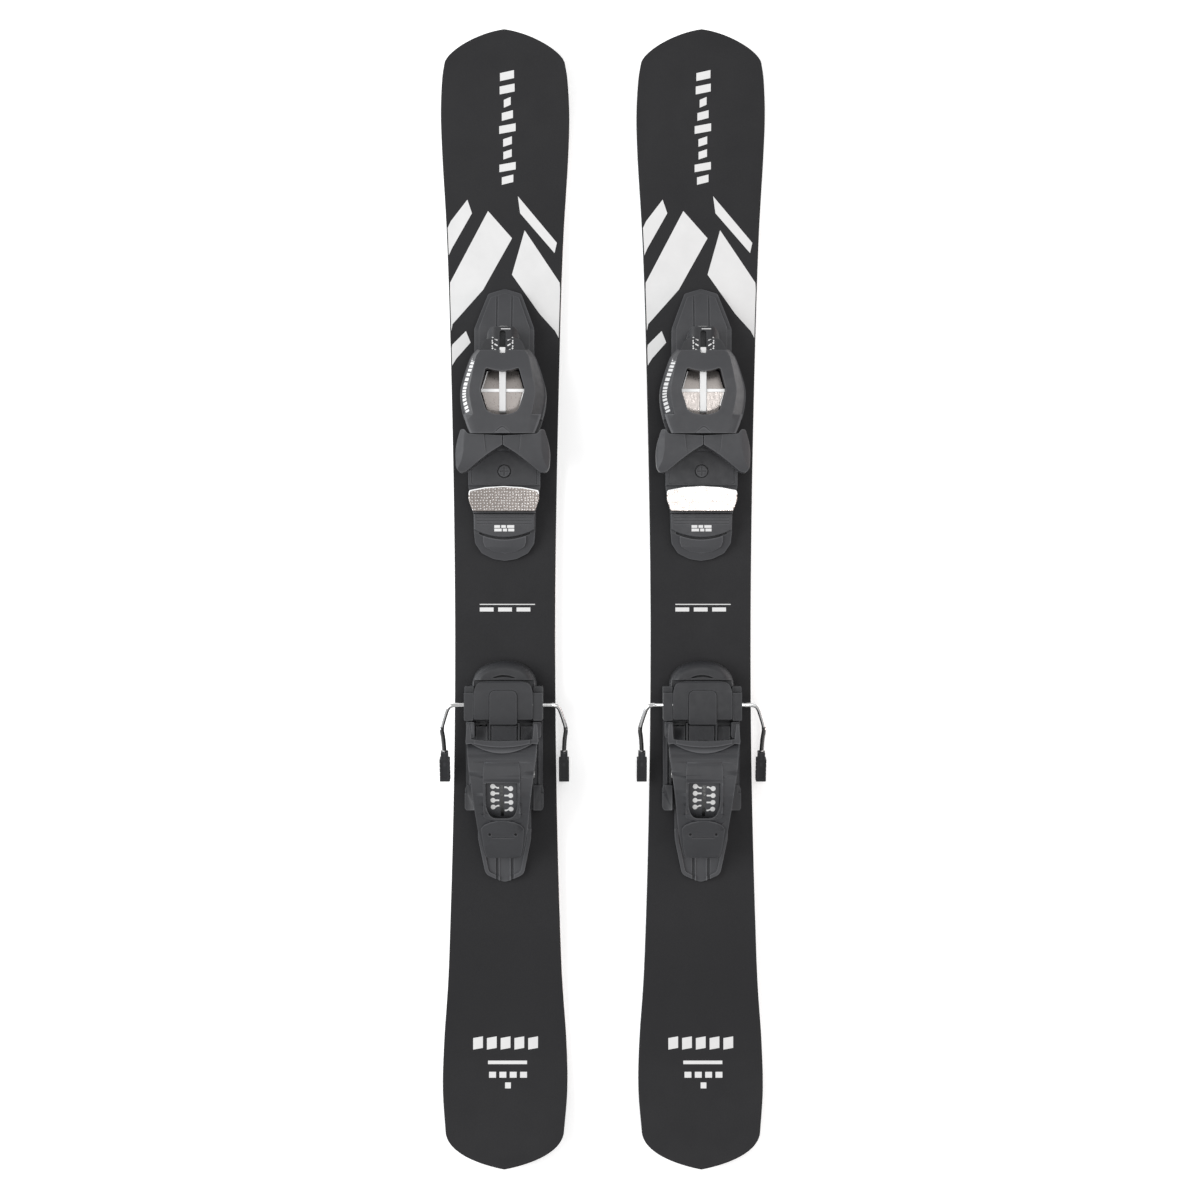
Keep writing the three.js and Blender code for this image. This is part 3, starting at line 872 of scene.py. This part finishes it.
def make_toe_plate():
    outline = symmetric([
        (0, 270.3), (14.3, 265.6), (21, 247.6), (25.8, 234), (25.8, 150), (31, 135), (31, 98),
        (27, 77), (26.6, 60), (25.6, 49), (20, 40.5), (10, 35.6), (0, 34),
    ], 1.6)
    profile = [
        (271, 0.1), (270.6, 2.2), (268, 4.4), (237, 14.4), (233, PLATE_TOP), (99, PLATE_TOP),
        (98, 15), (75, 15), (74, 10), (57, 10), (37, 3.6), (33, 2.4), (33, 0.1),
    ]
    nose = symmetric([(0, 266.5), (12.4, 262.2), (17.6, 247), (22, 234.6), (22, 209)], 1.2)
    nose_top = [(268, 2), (266.6, 5.6), (259, 8.9), (236, 16.3), (209, 17.4), (209, 2)]
    bowed = [(26.4, 74.6), (26.1, 61)] + [(x, bow(x, 54.2, 6.4)) for x in (22, 17, 11, 5, 0)]
    plate = unite(
        carved(outline, profile), carved(nose, nose_top), pillow(symmetric(bowed, 0.8, 3), 5, 15, 0.9),
    )
    for x in GROOVES:
        plate = cut(plate, sloped_groove(x, [(230, 16.5), (238, 15.7), (270, 4.9)], 1.3, 0.6))
    shadow_gap = [(x, bow(x, 54.1, 6.4)) for x in (-22, -16, -8, 0, 8, 16, 22)]
    shadow_gap += [(x, y - 1.7) for x, y in reversed(shadow_gap)]
    plate = cut(plate, plan(shadow_gap, 6.5, 20))
    for y in (71.4, 68.6, 65.8):
        plate = cut(plate, box((-24, 24), (y - 0.45, y + 0.45), (14.4, 20)))
    apron = symmetric([(28.4, 99.6), (28.4, 126), (20, 137), (4, 143)], 2.0)
    plate = cut(plate, plan(apron, PLATE_TOP - 0.8, 30), height_screw_bore())
    apron_panel = cut(plan(inset(apron, 0.4), PLATE_TOP - 1.2, PLATE_TOP - 0.2), height_screw_bore())
    install(soften(apron_panel, 0.3, 2), "toe_plate_apron", "ski", "plastic_dark")
    install(soften(plate, 0.55), "toe_plate_moulding", "ski", "plastic", ["toe_plate"])


def make_plate_print():
    blocks = []
    for y, widths in ((63.4, (5.0, 4.0, 6.2)), (60.4, (6.4, 3.6, 5.2))):
        x = -8.6
        for width in widths:
            blocks.append(mark(rectangle(x, x + width, y - 1.2, y + 1.2), 15.0))
            x += width + 1.0
    install(joined(blocks), "toe_plate_print", "ski", "print")


def make_height_screw_collar():
    ring = cut(bar(7.2, 15.0, 15.75, "z", (0, HEIGHT_SCREW_Y)), height_screw_bore())
    install(soften(ring, 0.2, 2), "height_screw_collar", "ski", "plastic")


def toe_screw_openings():
    """Cutters for the release screw's bore and for the slot that the indicator slides in."""
    slot = rounded(rectangle(-2.6, 2.6, 208.6, 228.6), 2.4)
    return bar(5.6, 190, 240, "y", (0, SCREW_AXIS)), plan(slot, 41, 60)


def toe_boss():
    section = rounded([
        (-14.6, 16.1), (14.6, 16.1), (14.6, 39), (9.4, 46), (-9.4, 46), (-14.6, 39),
    ], [0, 0, 5, 5, 5, 5])
    outline = symmetric([(10.2, 232), (14, 226), (14.6, 200)], [3, 5, 0])
    boss = common(front(section, 206, 232), plan(outline, 10, 60))
    collar = plan(symmetric([(14.6, 222), (19.5, 213), (19.5, 200)], [5, 5, 0]), 16.1, 47.2)
    return soften(cut(unite(boss, collar), *toe_screw_openings()), 0.7)


def toe_shell():
    outer, waist, upper = (symmetric(half, HOUSING_RADII) for half in (
        [(22, 214), (27.5, 208), (32, 196), (37.2, 178), (35.6, 162), (31.6, 148.5), (28.3, 141)],
        [(22, 213.6), (27.2, 207.6), (31.4, 196), (36.4, 178), (34.6, 162), (30.4, 148.5), (27.2, 141)],
        [(17, 211), (20.8, 206.5), (24.4, 194), (28.4, 178), (26, 163), (22.6, 150), (20, 141)],
    ))
    shell = unite(plan(outer, 16.1, 37), stacked((waist, 36.9), (upper, 54)))
    slope = side([(236, 44), (214, 48), (197, 52.2), (187, 54), (187, 70), (236, 70)], -50, 50)
    pocket = side([(130, 28), (130, 50.6), (154, 50.6), (154, 28)], -50, 50)
    eave = stacked((waist, 50.7), (waist, 51.2), (upper, 54))
    eave = common(eave, box((-50, 50), (130, 157), (40, 60)))
    tongue = plan(symmetric([(27.8, 141.5), (27.8, 131), (24, 128)], [0, 2, 2]), 16.1, 28)
    shell = unite(cut(shell, slope, pocket), eave, tongue)
    window = symmetric([
        (0, 193.4), (7.5, 194.5), (14, 196.4), (19, 177.5), (13.4, 160), (8, 157.4), (0, 156.4),
    ], [0, 2, 1.5, 3, 4, 3, 2])
    peak = rounded([(-9, 140), (9, 140), (1.4, 146.6), (-1.4, 146.6)], 0.8)
    shell = cut(shell, plan(window, 10, 70), *toe_screw_openings(), plan(peak, 53.2, 60))
    for direction in (-1, 1):
        at = (direction * WING_PIVOT[0], WING_PIVOT[1])
        shell = cut(shell, bar(WING_PIN_BORE, 19, 40, "z", at))
    return soften(shell, 0.7)


def make_toe_housing():
    shell, boss = toe_shell(), toe_boss()
    shoulder, dial = search_tree(shell), search_tree(boss)
    install(shell, "toe_housing_shell", "ski", "plastic", ["toe_housing"])
    install(boss, "toe_housing_boss", "ski", "black")
    make_toe_marks(shoulder, dial)
    peak_fill = plan(rounded([(-7.2, 141.2), (7.2, 141.2), (1.1, 145.7), (-1.1, 145.7)], 0.6), 52.4, 53.9)
    install(soften(peak_fill, 0.3, 2), "toe_housing_tab", "ski", "plastic_light")


def search_tree(piece):
    return BVHTree.FromPolygons(
        [v.co for v in piece.data.vertices], [f.vertices for f in piece.data.polygons]
    )


def mark(polygon, surface):
    """A thin printed mark laid on a surface under it; surface is a search tree or a height."""
    lower, upper = [], []
    for x, y in polygon:
        z = surface
        if isinstance(surface, BVHTree):
            z = surface.ray_cast(Vector((x, y, 120)), Vector((0, 0, -1)))[0].z
        lower.append((x, y, z + LIFT))
        upper.append((x, y, z + LIFT + FILM))
    return loft([lower, upper])


def dash(start, end, width):
    """The four corners of a straight printed dash."""
    a, b = Vector(start), Vector(end)
    across = (b - a).normalized().orthogonal() * width / 2
    return [tuple(a - across), tuple(b - across), tuple(b + across), tuple(a + across)]


def make_toe_marks(shoulder, dial):
    marks = [mark(dash((-1.4, 229.9), (6.6, 229.9), 0.6), dial)]
    for s in (-1, 1):
        for k in range(3):
            y = 221.2 - 4.6 * k
            marks.append(mark(dash((s * 4.2, y - 1.2), (s * 6.8, y + 0.4), 1.1), dial))
            marks.append(mark(dash((s * 8.0, y + 0.8), (s * 8.9, y + 1.6), 1.3), dial))
            if k < 2:
                marks.append(mark(dash((s * 8.7, y - 0.9), (s * 8.7, y - 2.3), 0.9), dial))
    install(joined(marks), "toe_scale_marks", "ski", "print")
    path = catmull_rom([(-24.0, 205), (-27.4, 196), (-32.0, 181), (-32.6, 171), (-29.6, 159)], 8)
    strip = []
    for k in range(0, len(path) - 2, 2):
        a, b = Vector(path[k]), Vector(path[k + 1])
        strip.append(mark(dash(a, a + (b - a) * 1.35, 3.5), shoulder))
    install(joined(strip), "toe_shoulder_marks", "ski", "print")


def make_toe_window():
    outline = symmetric([(13.3, 195), (18.2, 177), (12.6, 158.6), (8, 157.9)], 0.8)
    roof = [(195.2, 16.3), (195.2, 39), (179.4, 43.4), (176.4, 43.4), (157, 39.5), (157, 16.3)]
    cup = cut(carved(outline, roof), bar(7.5, 163, 200, "y", (0, SCREW_AXIS)))
    install(soften(cup, 0.35), "toe_spring_cup_faces", "ski", "polished", ["toe_spring_cup"])
    strap = rounded([(195.2, 36), (195.2, 46), (160, 45.4), (158.6, 43), (158.6, 36)], 1.0)
    install(soften(side(strap, -2.9, 2.9), 0.5), "toe_window_strap", "ski", "strap")
    # The bead, a bar across the cup's crease and two rods along the window's edges, is a painted highlight
    # of the polished cup.
    bead = side(rounded([(176.3, 42.6), (176.5, 44.3), (179.3, 44.3), (179.5, 42.6)], 0.5), -18.2, 18.2)
    for start, end in (
        ((-13.1, 194.6, 39.5), (-17.6, 179, 43.7)),
        ((17.6, 176.4, 43.5), (14.6, 165, 41.2)),
    ):
        spine = Vector(end) - Vector(start)
        turn = spine.to_track_quat("Z", "Y").to_matrix().to_4x4()
        edge = bar(0.5, 0, spine.length, "z", (0, 0), 0.1, 12)
        edge.data.transform(Matrix.Translation(start) @ turn)
        bead = unite(bead, edge)
    install(soften(bead, 0.2, 2), "toe_window_highlight_bead", "ski", "bead")
    indicator = pillow(rounded(rectangle(-2.5, 2.5, 209.2, 214.3), 0.6), 41.4, 47.4, 0.5)
    install(indicator, "toe_indicator_flag", "toe_indicator", "print", ["toe_indicator"])
    socket = front(circle(2.6, 6, (0, SCREW_AXIS)), 231, 240)
    screw = soften(cut(bar(5, 194.5, 234, "y", (0, SCREW_AXIS), 0.5), socket), 0.15, 2)
    install(screw, "toe_release_screw", "toe_din_screw", "steel", ["toe_din_screw"])


def make_wings():
    outline = rounded([
        (0.3, 139.3), (14, 140.1), (29.6, 140.8), (32, 144.6), (35.6, 144.6), (38.9, 134), (40.2, 125),
        (39.6, 112.4), (36.6, 108), (31.6, 108.6), (21.5, 117), (10.5, 125.4), (0.3, 131.6),
    ], [0.3, 2, 2, 1.5, 2.5, 6, 8, 5, 3, 4, 8, 8, 0.3])
    top = [(146, 28), (146, 50), (130, 50), (118, 48.6), (104, 44.6), (104, 31.5), (122, 28)]
    fall = [(24, 51), (33, 49.6), (38.4, 46.6), (44, 42), (44, 60), (24, 60)]
    recess = [(-2, 145), (16.2, 145), (13.2, 118), (-2, 128)]
    for name, direction in (("left", -1), ("right", 1)):
        wing = common(plan(on_side(outline, direction), 29, 60), side(top, -60, 60))
        wing = cut(
            wing,
            front(on_side(fall, direction), 100, 150),
            plan(on_side(recess, direction), 49.2, 60),
            bar(WING_PIN_BORE, 20, 48.0, "z", (direction * WING_PIVOT[0], WING_PIVOT[1])),
        )
        install(soften(wing, 0.9), f"toe_wing_{name}", f"wing_{name}", "plastic", [f"wing_{name}"])


def make_boot_pad():
    outline = symmetric([
        (0, 97.8), (16, 96.8), (29.4, 94.3), (30.2, 92.2), (30.2, 86), (26.7, 76.3),
    ], 0.9, 4)
    carriage = pillow(inset(outline, 0.5), PLATE_TOP + 0.1, 22.4, 0.4)
    install(carriage, "afd_carriage", "afd_plate", "black")
    skin = pillow(outline, 22.5, 24.0, 0.7)
    install(skin, "afd_skin", "afd_plate", "pad", ["afd_plate"])
    # The rim is a thin near-white strip along the pad's front edge: a painted highlight.
    front_edge = sorted(point for point in outline if point[1] > 90)
    back_edge = [(x * 0.972, y - 0.85) for x, y in reversed(front_edge)]
    highlight_rim = plan(front_edge + back_edge, 23.2, 24.4)
    install(soften(highlight_rim, 0.15, 2), "afd_highlight_rim", "afd_plate", "bead")
    screw = cut(
        bar(5.0, 12.6, 17.0, "z", (0, HEIGHT_SCREW_Y), 0.5),
        box((-4, 4), (HEIGHT_SCREW_Y - 0.7, HEIGHT_SCREW_Y + 0.7), (16.1, 20)),
        box((-0.7, 0.7), (HEIGHT_SCREW_Y - 4, HEIGHT_SCREW_Y + 4), (16.1, 20)),
    )
    install(soften(screw, 0.2, 2), "height_screw_head", "height_screw", "plastic_light", ["height_screw"])


make_end_panel()
make_toe_plate()
make_plate_print()
make_height_screw_collar()
make_toe_housing()
make_toe_window()
make_wings()
make_boot_pad()


# ---- the heel piece

TRACK_TOP = 8.0
CARRIER_FLOOR = 8.4
HEEL_PIVOT = (-150.0, 18.0)
HEEL_PIN_BORE = 4.3
HEEL_SPRING_Z = 38.0
JAW_ARC = 44.0
LEVER_INNER_ARC, LEVER_OUTER_ARC, RIDGE_ARC = 44.4, 48.5, 49.3
LIP_BACK = (-128.8, 8.0)
ACROSS = [25.7 * k / 12 for k in range(-12, 13)]


def pivot_arc(radius, start, end, steps):
    """Points (y, z) on an arc about the heel pivot; angles from straight up towards the tail."""
    y, z = HEEL_PIVOT
    return [(y + b, z + a) for a, b in arc((0, 0), radius, -start, -end, steps)]


def make_heel_track():
    outline = symmetric([
        (12, -56), (20, -62), (22.5, -70), (23, -206.6), (16.6, -238), (0, -245.5),
    ], 4.0)
    profile = [(-55, 0.1), (-55, TRACK_TOP), (-196, TRACK_TOP), (-246, 3.2), (-246, 0.1)]
    rail_top = [(-198, 4), (-198, 9.6), (-206, 9.6), (-247, 4.8), (-247, 1)]
    rails = cut(carved(outline, rail_top), plan(inset(outline, 3.4), 0, 30))
    track = unite(carved(outline, profile), rails)
    for x in GROOVES:
        track = cut(track, sloped_groove(x, [(-203, 7.3), (-248, 3.0)], 2.2, 2.0))
    track = cut(track, sloped_groove(0, [(-205, 7.2), (-248, 3.0)], 8.4, 0.7))
    for k in range(9):
        y = -62 - 4.4 * k
        track = cut(track, box((-5.5, 5.5), (y - 1.2, y + 1.2), (6.2, 12)))
    install(soften(track, 0.45), "heel_track_rail", "ski", "plastic_light", ["heel_track"])


def heel_pin_bore():
    return bar(HEEL_PIN_BORE, -30, 30, "x", HEEL_PIVOT)


def make_heel_carrier():
    y, z = HEEL_PIVOT
    ends = (y - 10, y + 10)
    carrier = plan(symmetric([(30, -104.5), (30, -181)], 1.5), CARRIER_FLOOR, 12)
    sill_top = [(-160, CARRIER_FLOOR), (-160, 14), (-107, 14), (-104.5, 12), (-104.5, CARRIER_FLOOR)]
    ledge_top = [(-134, 11), (-134, 13.6), (-122, 15.6), (-109, 16.4), (-109, 11)]
    for s in (-1, 1):
        thick = span(s, 14, 19.3)
        ear = unite(bar(8.5, *thick, "x", (y, z)), box(thick, ends, (CARRIER_FLOOR, z)))
        prong = plan(rounded(rectangle(s * 25, s * 32, -118, -104.5), 1.6), CARRIER_FLOOR, 28)
        flange = plan(rounded([
            (s * 25.4, -159.5), (s * 32.4, -159.5), (s * 33.8, -163), (s * 33.8, -179), (s * 32.4, -181),
            (s * 25.4, -181),
        ], 0.8), 1, 20)
        step = box(span(s, 31.4, 40), (-166.4, -150), (15.5, 30))
        groove = box(span(s, 32.9, 40), (-178.4, -168.6), (4, 16.6))
        sill = side(sill_top, *span(s, 29.5, 33.2))
        rib = box(span(s, 11.8, 13.4), (-135, -106), (11.5, 18))
        ledge = side(ledge_top, *span(s, 14.4, 24.4))
        carrier = unite(carrier, ear, prong, cut(flange, step, groove), sill, rib, ledge)
        carrier = cut(carrier, box(span(s, 19.6, 25.3), ends, (0, 13)))
    carrier = cut(carrier, box((-13.9, 13.9), ends, (0, 13)), heel_pin_bore())
    install(soften(carrier, 0.5), "heel_carrier_body", "heel_carrier", "plastic_heel", ["heel_carrier"])
    cover = side(rounded([(-133, 12.1), (-133, 15), (-124, 17.4), (-108, 19), (-107, 12.1)], 1.0), -11, 11)
    install(soften(cover, 0.8), "adjuster_cover", "heel_carrier", "plastic_light")
    pin = bar(4.0, -26.5, 26.5, "x", (y, z), 0.6)
    install(pin, "heel_axle", "heel_carrier", "steel", ["heel_pivot_pin"])


def jaw_plan():
    return symmetric([
        (29.8, -117.5), (28.3, -137), (19.4, -137.2), (19.4, -165), (12.8, -165.2), (12.8, -184.5),
    ], [1, 0.2, 0.2, 1, 0.2, 1])


def jaw_lip():
    """The visor over the boot's heel, its raised edge, and the root that holds it on the jaw."""
    back = [(-30.2, -121.4), *[(x, bow(x, *LIP_BACK)) for x in ACROSS], (30.2, -121.4)]
    front_edge = [(x, bow(x, -118.8, 1.4)) for x in ACROSS[::-1]][1:-1]
    crescent = [(30.6, -119), *rounded([(31, -104.5), (25.8, -104.5)], 1.5), (25.7, -117.4), *front_edge]
    crescent += [(-25.7, -117.4), *rounded([(-25.8, -104.5), (-31, -104.5)], 1.5), (-30.6, -119)]
    visor = [
        *pivot_arc(LEVER_OUTER_ARC + 0.3, -24, -40.6, 10), (-104.5, 53.4), (-104.5, 57.4), (-112, 58.0),
        (-118, 58.8), (-124, 61.0), (-130, 63.4),
    ]
    bead = front_edge + [(x, bow(x, -123.9, 3.6)) for x in ACROSS][1:-1]
    bead_top = [(-110, 56), (-110, 57.8), (-117, 59.8), (-124, 62.4), (-126, 63.2), (-126, 60), (-118, 56)]
    root = box((-5, 5), (-120.2, -118.7), (48.7, 56.6))
    return carved(crescent + back, visor), root, carved(bead, bead_top)


def make_heel_jaw():
    y, z = HEEL_PIVOT
    profile = [
        *pivot_arc(JAW_ARC, -46, 48, 34),
        (-184.5, 30), (-160, 28), (-152, 30), (-135, 30), (-127, 36), (-127, 48),
    ]
    hub = unite(bar(8.5, -13.6, 13.6, "x", (y, z)), box((-13.6, 13.6), (y - 8, y + 8), (z, 31)))
    heel_round = plan([(x, bow(x, -119.2, 1.6)) for x in ACROSS] + [(25.7, -100), (-25.7, -100)], 10, 90)
    jaw = unite(cut(unite(carved(jaw_plan(), profile), hub), heel_round), *jaw_lip())
    jaw = cut(jaw, heel_pin_bore(), bar(6, -190, -141, "y", (0, HEEL_SPRING_Z)))
    install(soften(jaw, 0.6), "heel_jaw_body", "heel_jaw", "plastic_heel", ["heel_jaw"])
    screw = cut(
        bar(5.7, -184.2, -178, "y", (0, HEEL_SPRING_Z), 0.5),
        box((-4, 4), (-186, -182.4), (HEEL_SPRING_Z - 0.8, HEEL_SPRING_Z + 0.8)),
        box((-0.8, 0.8), (-186, -182.4), (HEEL_SPRING_Z - 4, HEEL_SPRING_Z + 4)),
    )
    install(soften(screw, 0.2, 2), "heel_release_screw", "heel_din_screw", "steel", ["heel_din_screw"])


def on_jaw_back(points, radius):
    """Points (x, y) laid on the jaw's round back, at a radius about the heel pivot."""
    y0, z0 = HEEL_PIVOT
    return [(x, y, z0 + math.sqrt(radius ** 2 - (y - y0) ** 2)) for x, y in points]


def make_heel_scale():
    """The release scale on the jaw's back, seen through the lever's window."""
    rings = []
    for k in range(36):
        outer, inner = (
            on_jaw_back([(x, -152.6 - k) for x in (-12.6, 12.6)], JAW_ARC + lift) for lift in (0.2, 0.02)
        )
        rings.append(outer + inner[::-1])
    install(loft(rings), "heel_scale_plate", "heel_jaw", "plastic_dark")
    marks = []
    for direction, first in ((-1, -156.6), (1, -158.5)):
        for k, tilt in enumerate((-1.2, 0, 0, 1.2)):
            y = first - 6.0 * k
            dot = circle(2.1, 20, (direction * 7.5, y))
            for outline in (dot, scale_stem(direction, y, tilt * direction)):
                lower = on_jaw_back(outline, JAW_ARC + 0.21)
                upper = on_jaw_back(outline, JAW_ARC + 0.29)
                marks.append(loft([lower, upper]))
    install(joined(marks), "heel_scale_marks", "heel_jaw", "print")
    rings = []
    for k in range(23):
        for y, lift in ((-156 - 1.2 * k, 0.22), (-156.5 - 1.2 * k, 0.36)):
            a, b = on_jaw_back([(-1.3, y), (1.3, y)], JAW_ARC + lift)
            rings.append([a, b, (b[0], y, b[2] - 1.2), (a[0], y, a[2] - 1.2)])
    install(loft(rings), "heel_scale_thread", "heel_jaw", "steel_dark", smooth=20)


def scale_stem(direction, y, tilt):
    return [
        (direction * 5.9, y - 0.7), (direction * 3.8, y - 0.7 - tilt), (direction * 2.2, y - 0.7 - tilt),
        (direction * 2.2, y + 0.7 - tilt), (direction * 3.8, y + 0.7 - tilt), (direction * 5.9, y + 0.7),
    ]


def lever_pad():
    """The raised pad at the lever's end, arched at the front."""
    arched = [(x, -186.6 - 5.6 * (abs(x) / 18.4) ** 2.4) for x in (-15, -10, -5, 0, 5, 10, 15)]
    outline = rounded(
        [(18.4, -193.5), (16.6, -211.5), (14.4, -220.9), (-14.4, -220.9), (-16.6, -211.5), (-18.4, -193.5)]
        + arched, [2, 3, 3.5, 3.5, 3, 2] + [1] * 7,
    )
    return carved(outline, [
        (-184, 50), (-184, 55.0), (-192, 49.5), (-220.4, 30.0), (-221.8, 27), (-221.8, 22), (-219, 22),
        (-216, 26.5), (-192, 45),
    ])


def pad_height(at):
    """The height of the pad's sloping top."""
    return 49.5 + (at + 192) * 19.5 / 28.4


def make_heel_lever():
    y, z = HEEL_PIVOT
    tucked = [(x, bow(x, LIP_BACK[0] + 0.9, LIP_BACK[1])) for x in range(-24, 25, 6)]
    outline = [(-29.6, -121.3), *tucked, (29.6, -121.3), *symmetric([
        (28.3, -137.3), (24.9, -161.5), (20.9, -196.5), (17.9, -212), (15.8, -220.6),
    ], [0, 14, 14, 8, 3.5])]
    shell = [
        *pivot_arc(LEVER_OUTER_ARC, -38, 40, 44),
        (-192, 48.4), (-219.8, 29.2), (-221.6, 26.4), (-219, 21.5),
        *pivot_arc(LEVER_INNER_ARC, 40, -38, 40),
    ]
    ridge = symmetric([(14.4, -133.6), (15.6, -146), (15.6, -184), (0, -188)], 2.5)
    raised = [
        *pivot_arc(LEVER_OUTER_ARC + 0.2, -20, -15.5, 3), *pivot_arc(RIDGE_ARC, -12.5, 38, 30),
        (-189, 51.2), (-186, 50), *pivot_arc(LEVER_OUTER_ARC - 1.5, 38, -20, 34),
    ]
    window = rounded([
        (-13.4, -153.4), (13.4, -153.4), (13.6, -174), (9.5, -184.4), (-9.5, -184.4), (-13.6, -174),
    ], [1.2, 1.2, 7, 6, 6, 7])
    lever = unite(carved(outline, shell), carved(ridge, raised), lever_pad())
    pad_groove = box((-9.2, 9.2), (-202.4, -201.6), (pad_height(-202) - 0.9, 80))
    lever = cut(lever, plan(window, 0, 90), pad_groove)
    for x in (-11, 11):
        lever = cut(lever, bar(1.2, pad_height(-199) - 3.5, 80, "z", (x, -199), 0, 16))
    cheek = [(-157.5, z), (-143, z + 3), (-147, 62.6), (-160, 62)]
    for s in (-1, 1):
        ends = span(s, 20, 24.6)
        lever = unite(lever, side(cheek, *ends), bar(8.4, *ends, "x", (y, z)))
    lever = soften(cut(lever, heel_pin_bore()), 0.6)
    rounds = (HEEL_PIVOT, (LEVER_OUTER_ARC, RIDGE_ARC))
    install(lever, "heel_lever_shell", "heel_lever", "plastic_heel", ["heel_lever"], round_about=rounds)


make_heel_track()
make_heel_carrier()
make_heel_jaw()
make_heel_scale()
make_heel_lever()


# ---- the ski brake

BRAKE_AXIS = (-89.7, 30.0)
BRAKE_SLOPE = math.radians(19)
ARM_ROUTE = [
    (2, 0), (18, 0), (34, 0), (43.6, 0.4), (47.4, 3), (49.8, 9), (53, 20), (53.2, 24),
    (52.2, 32), (51.6, 43), (51.5, 54),
]
ARM_CENTRE = 51.5


def in_arm_plane(piece):
    """Tilts a shape drawn level about the brake's axle, so that it slopes down behind it."""
    y, z = BRAKE_AXIS
    piece.data.transform(Matrix.Translation((0, y, z)) @ Matrix.Rotation(BRAKE_SLOPE, 4, "X"))
    return piece


def wire(path, radius, sides=20):
    """A round wire along a level path of (x, y) points, with rounded ends."""
    rings = []
    points = [Vector(point) for point in path]
    points.insert(1, points[0].lerp(points[1], 0.2))
    shares = [0.4] + [1.0] * (len(points) - 2) + [0.4]
    for i, (centre, share) in enumerate(zip(points, shares)):
        along = (points[min(i + 1, len(points) - 1)] - points[max(i - 1, 0)]).normalized()
        section = circle(radius * share, sides)
        rings.append([(centre.x - along.y * a, centre.y + along.x * a, b) for a, b in section])
    return loft(rings)


def make_brake_base():
    y, z = BRAKE_AXIS
    nose = bezier((28.2, -76), (28.2, -62), (19, -52.6), (0, -52.4), 18)
    outline = [(-28.2, -104), (28.2, -104), *nose, *[(-x, at) for x, at in nose[-2::-1]]]
    layers = [(outline, CARRIER_FLOOR), (outline, 11.5)]
    for degrees in range(10, 91, 10):
        angle = math.radians(degrees)
        layers.append((inset(outline, 7.5 * (1 - math.cos(angle))), 11.5 + 12.4 * math.sin(angle)))
    dome = cut(
        stacked(*layers), box((-25.7, 25.7), (-120, -68.6), (19, 60)), box((-40, 40), (-120, -84), (0, 60)),
    )
    crescent = [(x, -67.2 + 2.9 * (1 - (x / 10.5) ** 2)) for x in (-10.5, -8, -5, -2, 0, 2, 5, 8, 10.5)]
    crescent += [(x, -67.6 + 1.3 * (1 - (x / 10.5) ** 2)) for x in (8, 5, 2, 0, -2, -5, -8)]
    dome = cut(dome, plan(crescent, 17.5, 40))
    base = unite(dome, plan(symmetric([(27.8, -76), (27.8, -104)], 0.2), CARRIER_FLOOR, 16))
    for s in (-1, 1):
        block = plan(rounded(rectangle(s * 25.6, s * 33.6, -74, -103), 1.3), CARRIER_FLOOR, 34.5)
        base = unite(base, cut(block, box(span(s, 20, 40), (-79.4, -70), (28.5, 50))))
    base = cut(base, bar(2.5, -40, 40, "x", (y, z)))
    install(soften(base, 0.7), "brake_base_body", "heel_carrier", "plastic_dark", ["brake_base"])


def make_brake_pedal():
    y, z = BRAKE_AXIS
    plate = symmetric([(15.5, -69.4), (22.5, -71), (25.3, -78), (25.3, -102)], [9, 5, 5, 2])
    pad = symmetric([(11.7, -77.2), (11.7, -106.2)], [5.5, 1.5], 8)
    top = [(-66, 26.5), (-66, 31), (-71, 34.6), (-78, 36), (-96, 36.2), (-103, 35.4), (-110, 35.4)]
    pedal = carved(plate, top + [(-110, 26.5)])
    pedal = cut(pedal, cut(plan(inset(pad, -0.5), 35.3, 60), plan(pad, 30, 70)))
    pad_top = [(-74, 30), (-74, 36.2), (-80, 37.6), (-98, 37.8), (-107, 36.6), (-107, 30)]
    pedal = unite(pedal, carved(pad, pad_top))
    pedal = cut(pedal, bar(2.1, -30, 30, "x", (y, z)))
    install(soften(pedal, 0.8), "brake_pedal_plate", "brake", "plastic_dark", ["brake_pedal"])


def brake_tip(centre):
    """A plastic tip on the wire's end, notched along both sides and hollow on top."""
    def block(half, start, end, corner, bottom, top):
        return plan(rounded(rectangle(centre - half, centre + half, start, end), corner), bottom, top)

    tip = unite(block(4.4, -49.4, -70.2, 0.8, -3.4, 3.4), block(3.1, -43.4, -50, 0.4, -3.1, 3.1))
    for x in (centre - 4.6, centre + 4.6):
        for k in range(4):
            at = -53.5 - 4 * k
            tip = cut(tip, box((x - 0.6, x + 0.6), (at - 0.5, at + 0.5), (-5, 5)))
    return cut(tip, block(2.6, -52.5, -67.5, 0.8, 3.0, 6), bar(2.2, -56, -40, "y", (centre, 0)))


def make_brake_arms():
    for name, direction in (("left", -1), ("right", 1)):
        route = [(direction * x, -behind) for x, behind in ARM_ROUTE]
        arm = in_arm_plane(wire(catmull_rom(route, 6), 1.8))
        install(arm, f"brake_wire_{name}", "brake", "chrome", [f"brake_arm_{name}"])
        # A dark steel sleeve over the wire's lower, descending run: painted shade on that part of the
        # chrome wire.
        painted_shade_sleeve = in_arm_plane(wire(catmull_rom(route[6:10], 6), 1.86))
        install(painted_shade_sleeve, f"brake_sleeve_{name}", "brake", "steel_dark")
        tip = in_arm_plane(soften(brake_tip(direction * ARM_CENTRE), 0.5))
        install(tip, f"brake_tip_{name}_blade", "brake", "black", [f"brake_tip_{name}"])


make_brake_base()
make_brake_pedal()
make_brake_arms()
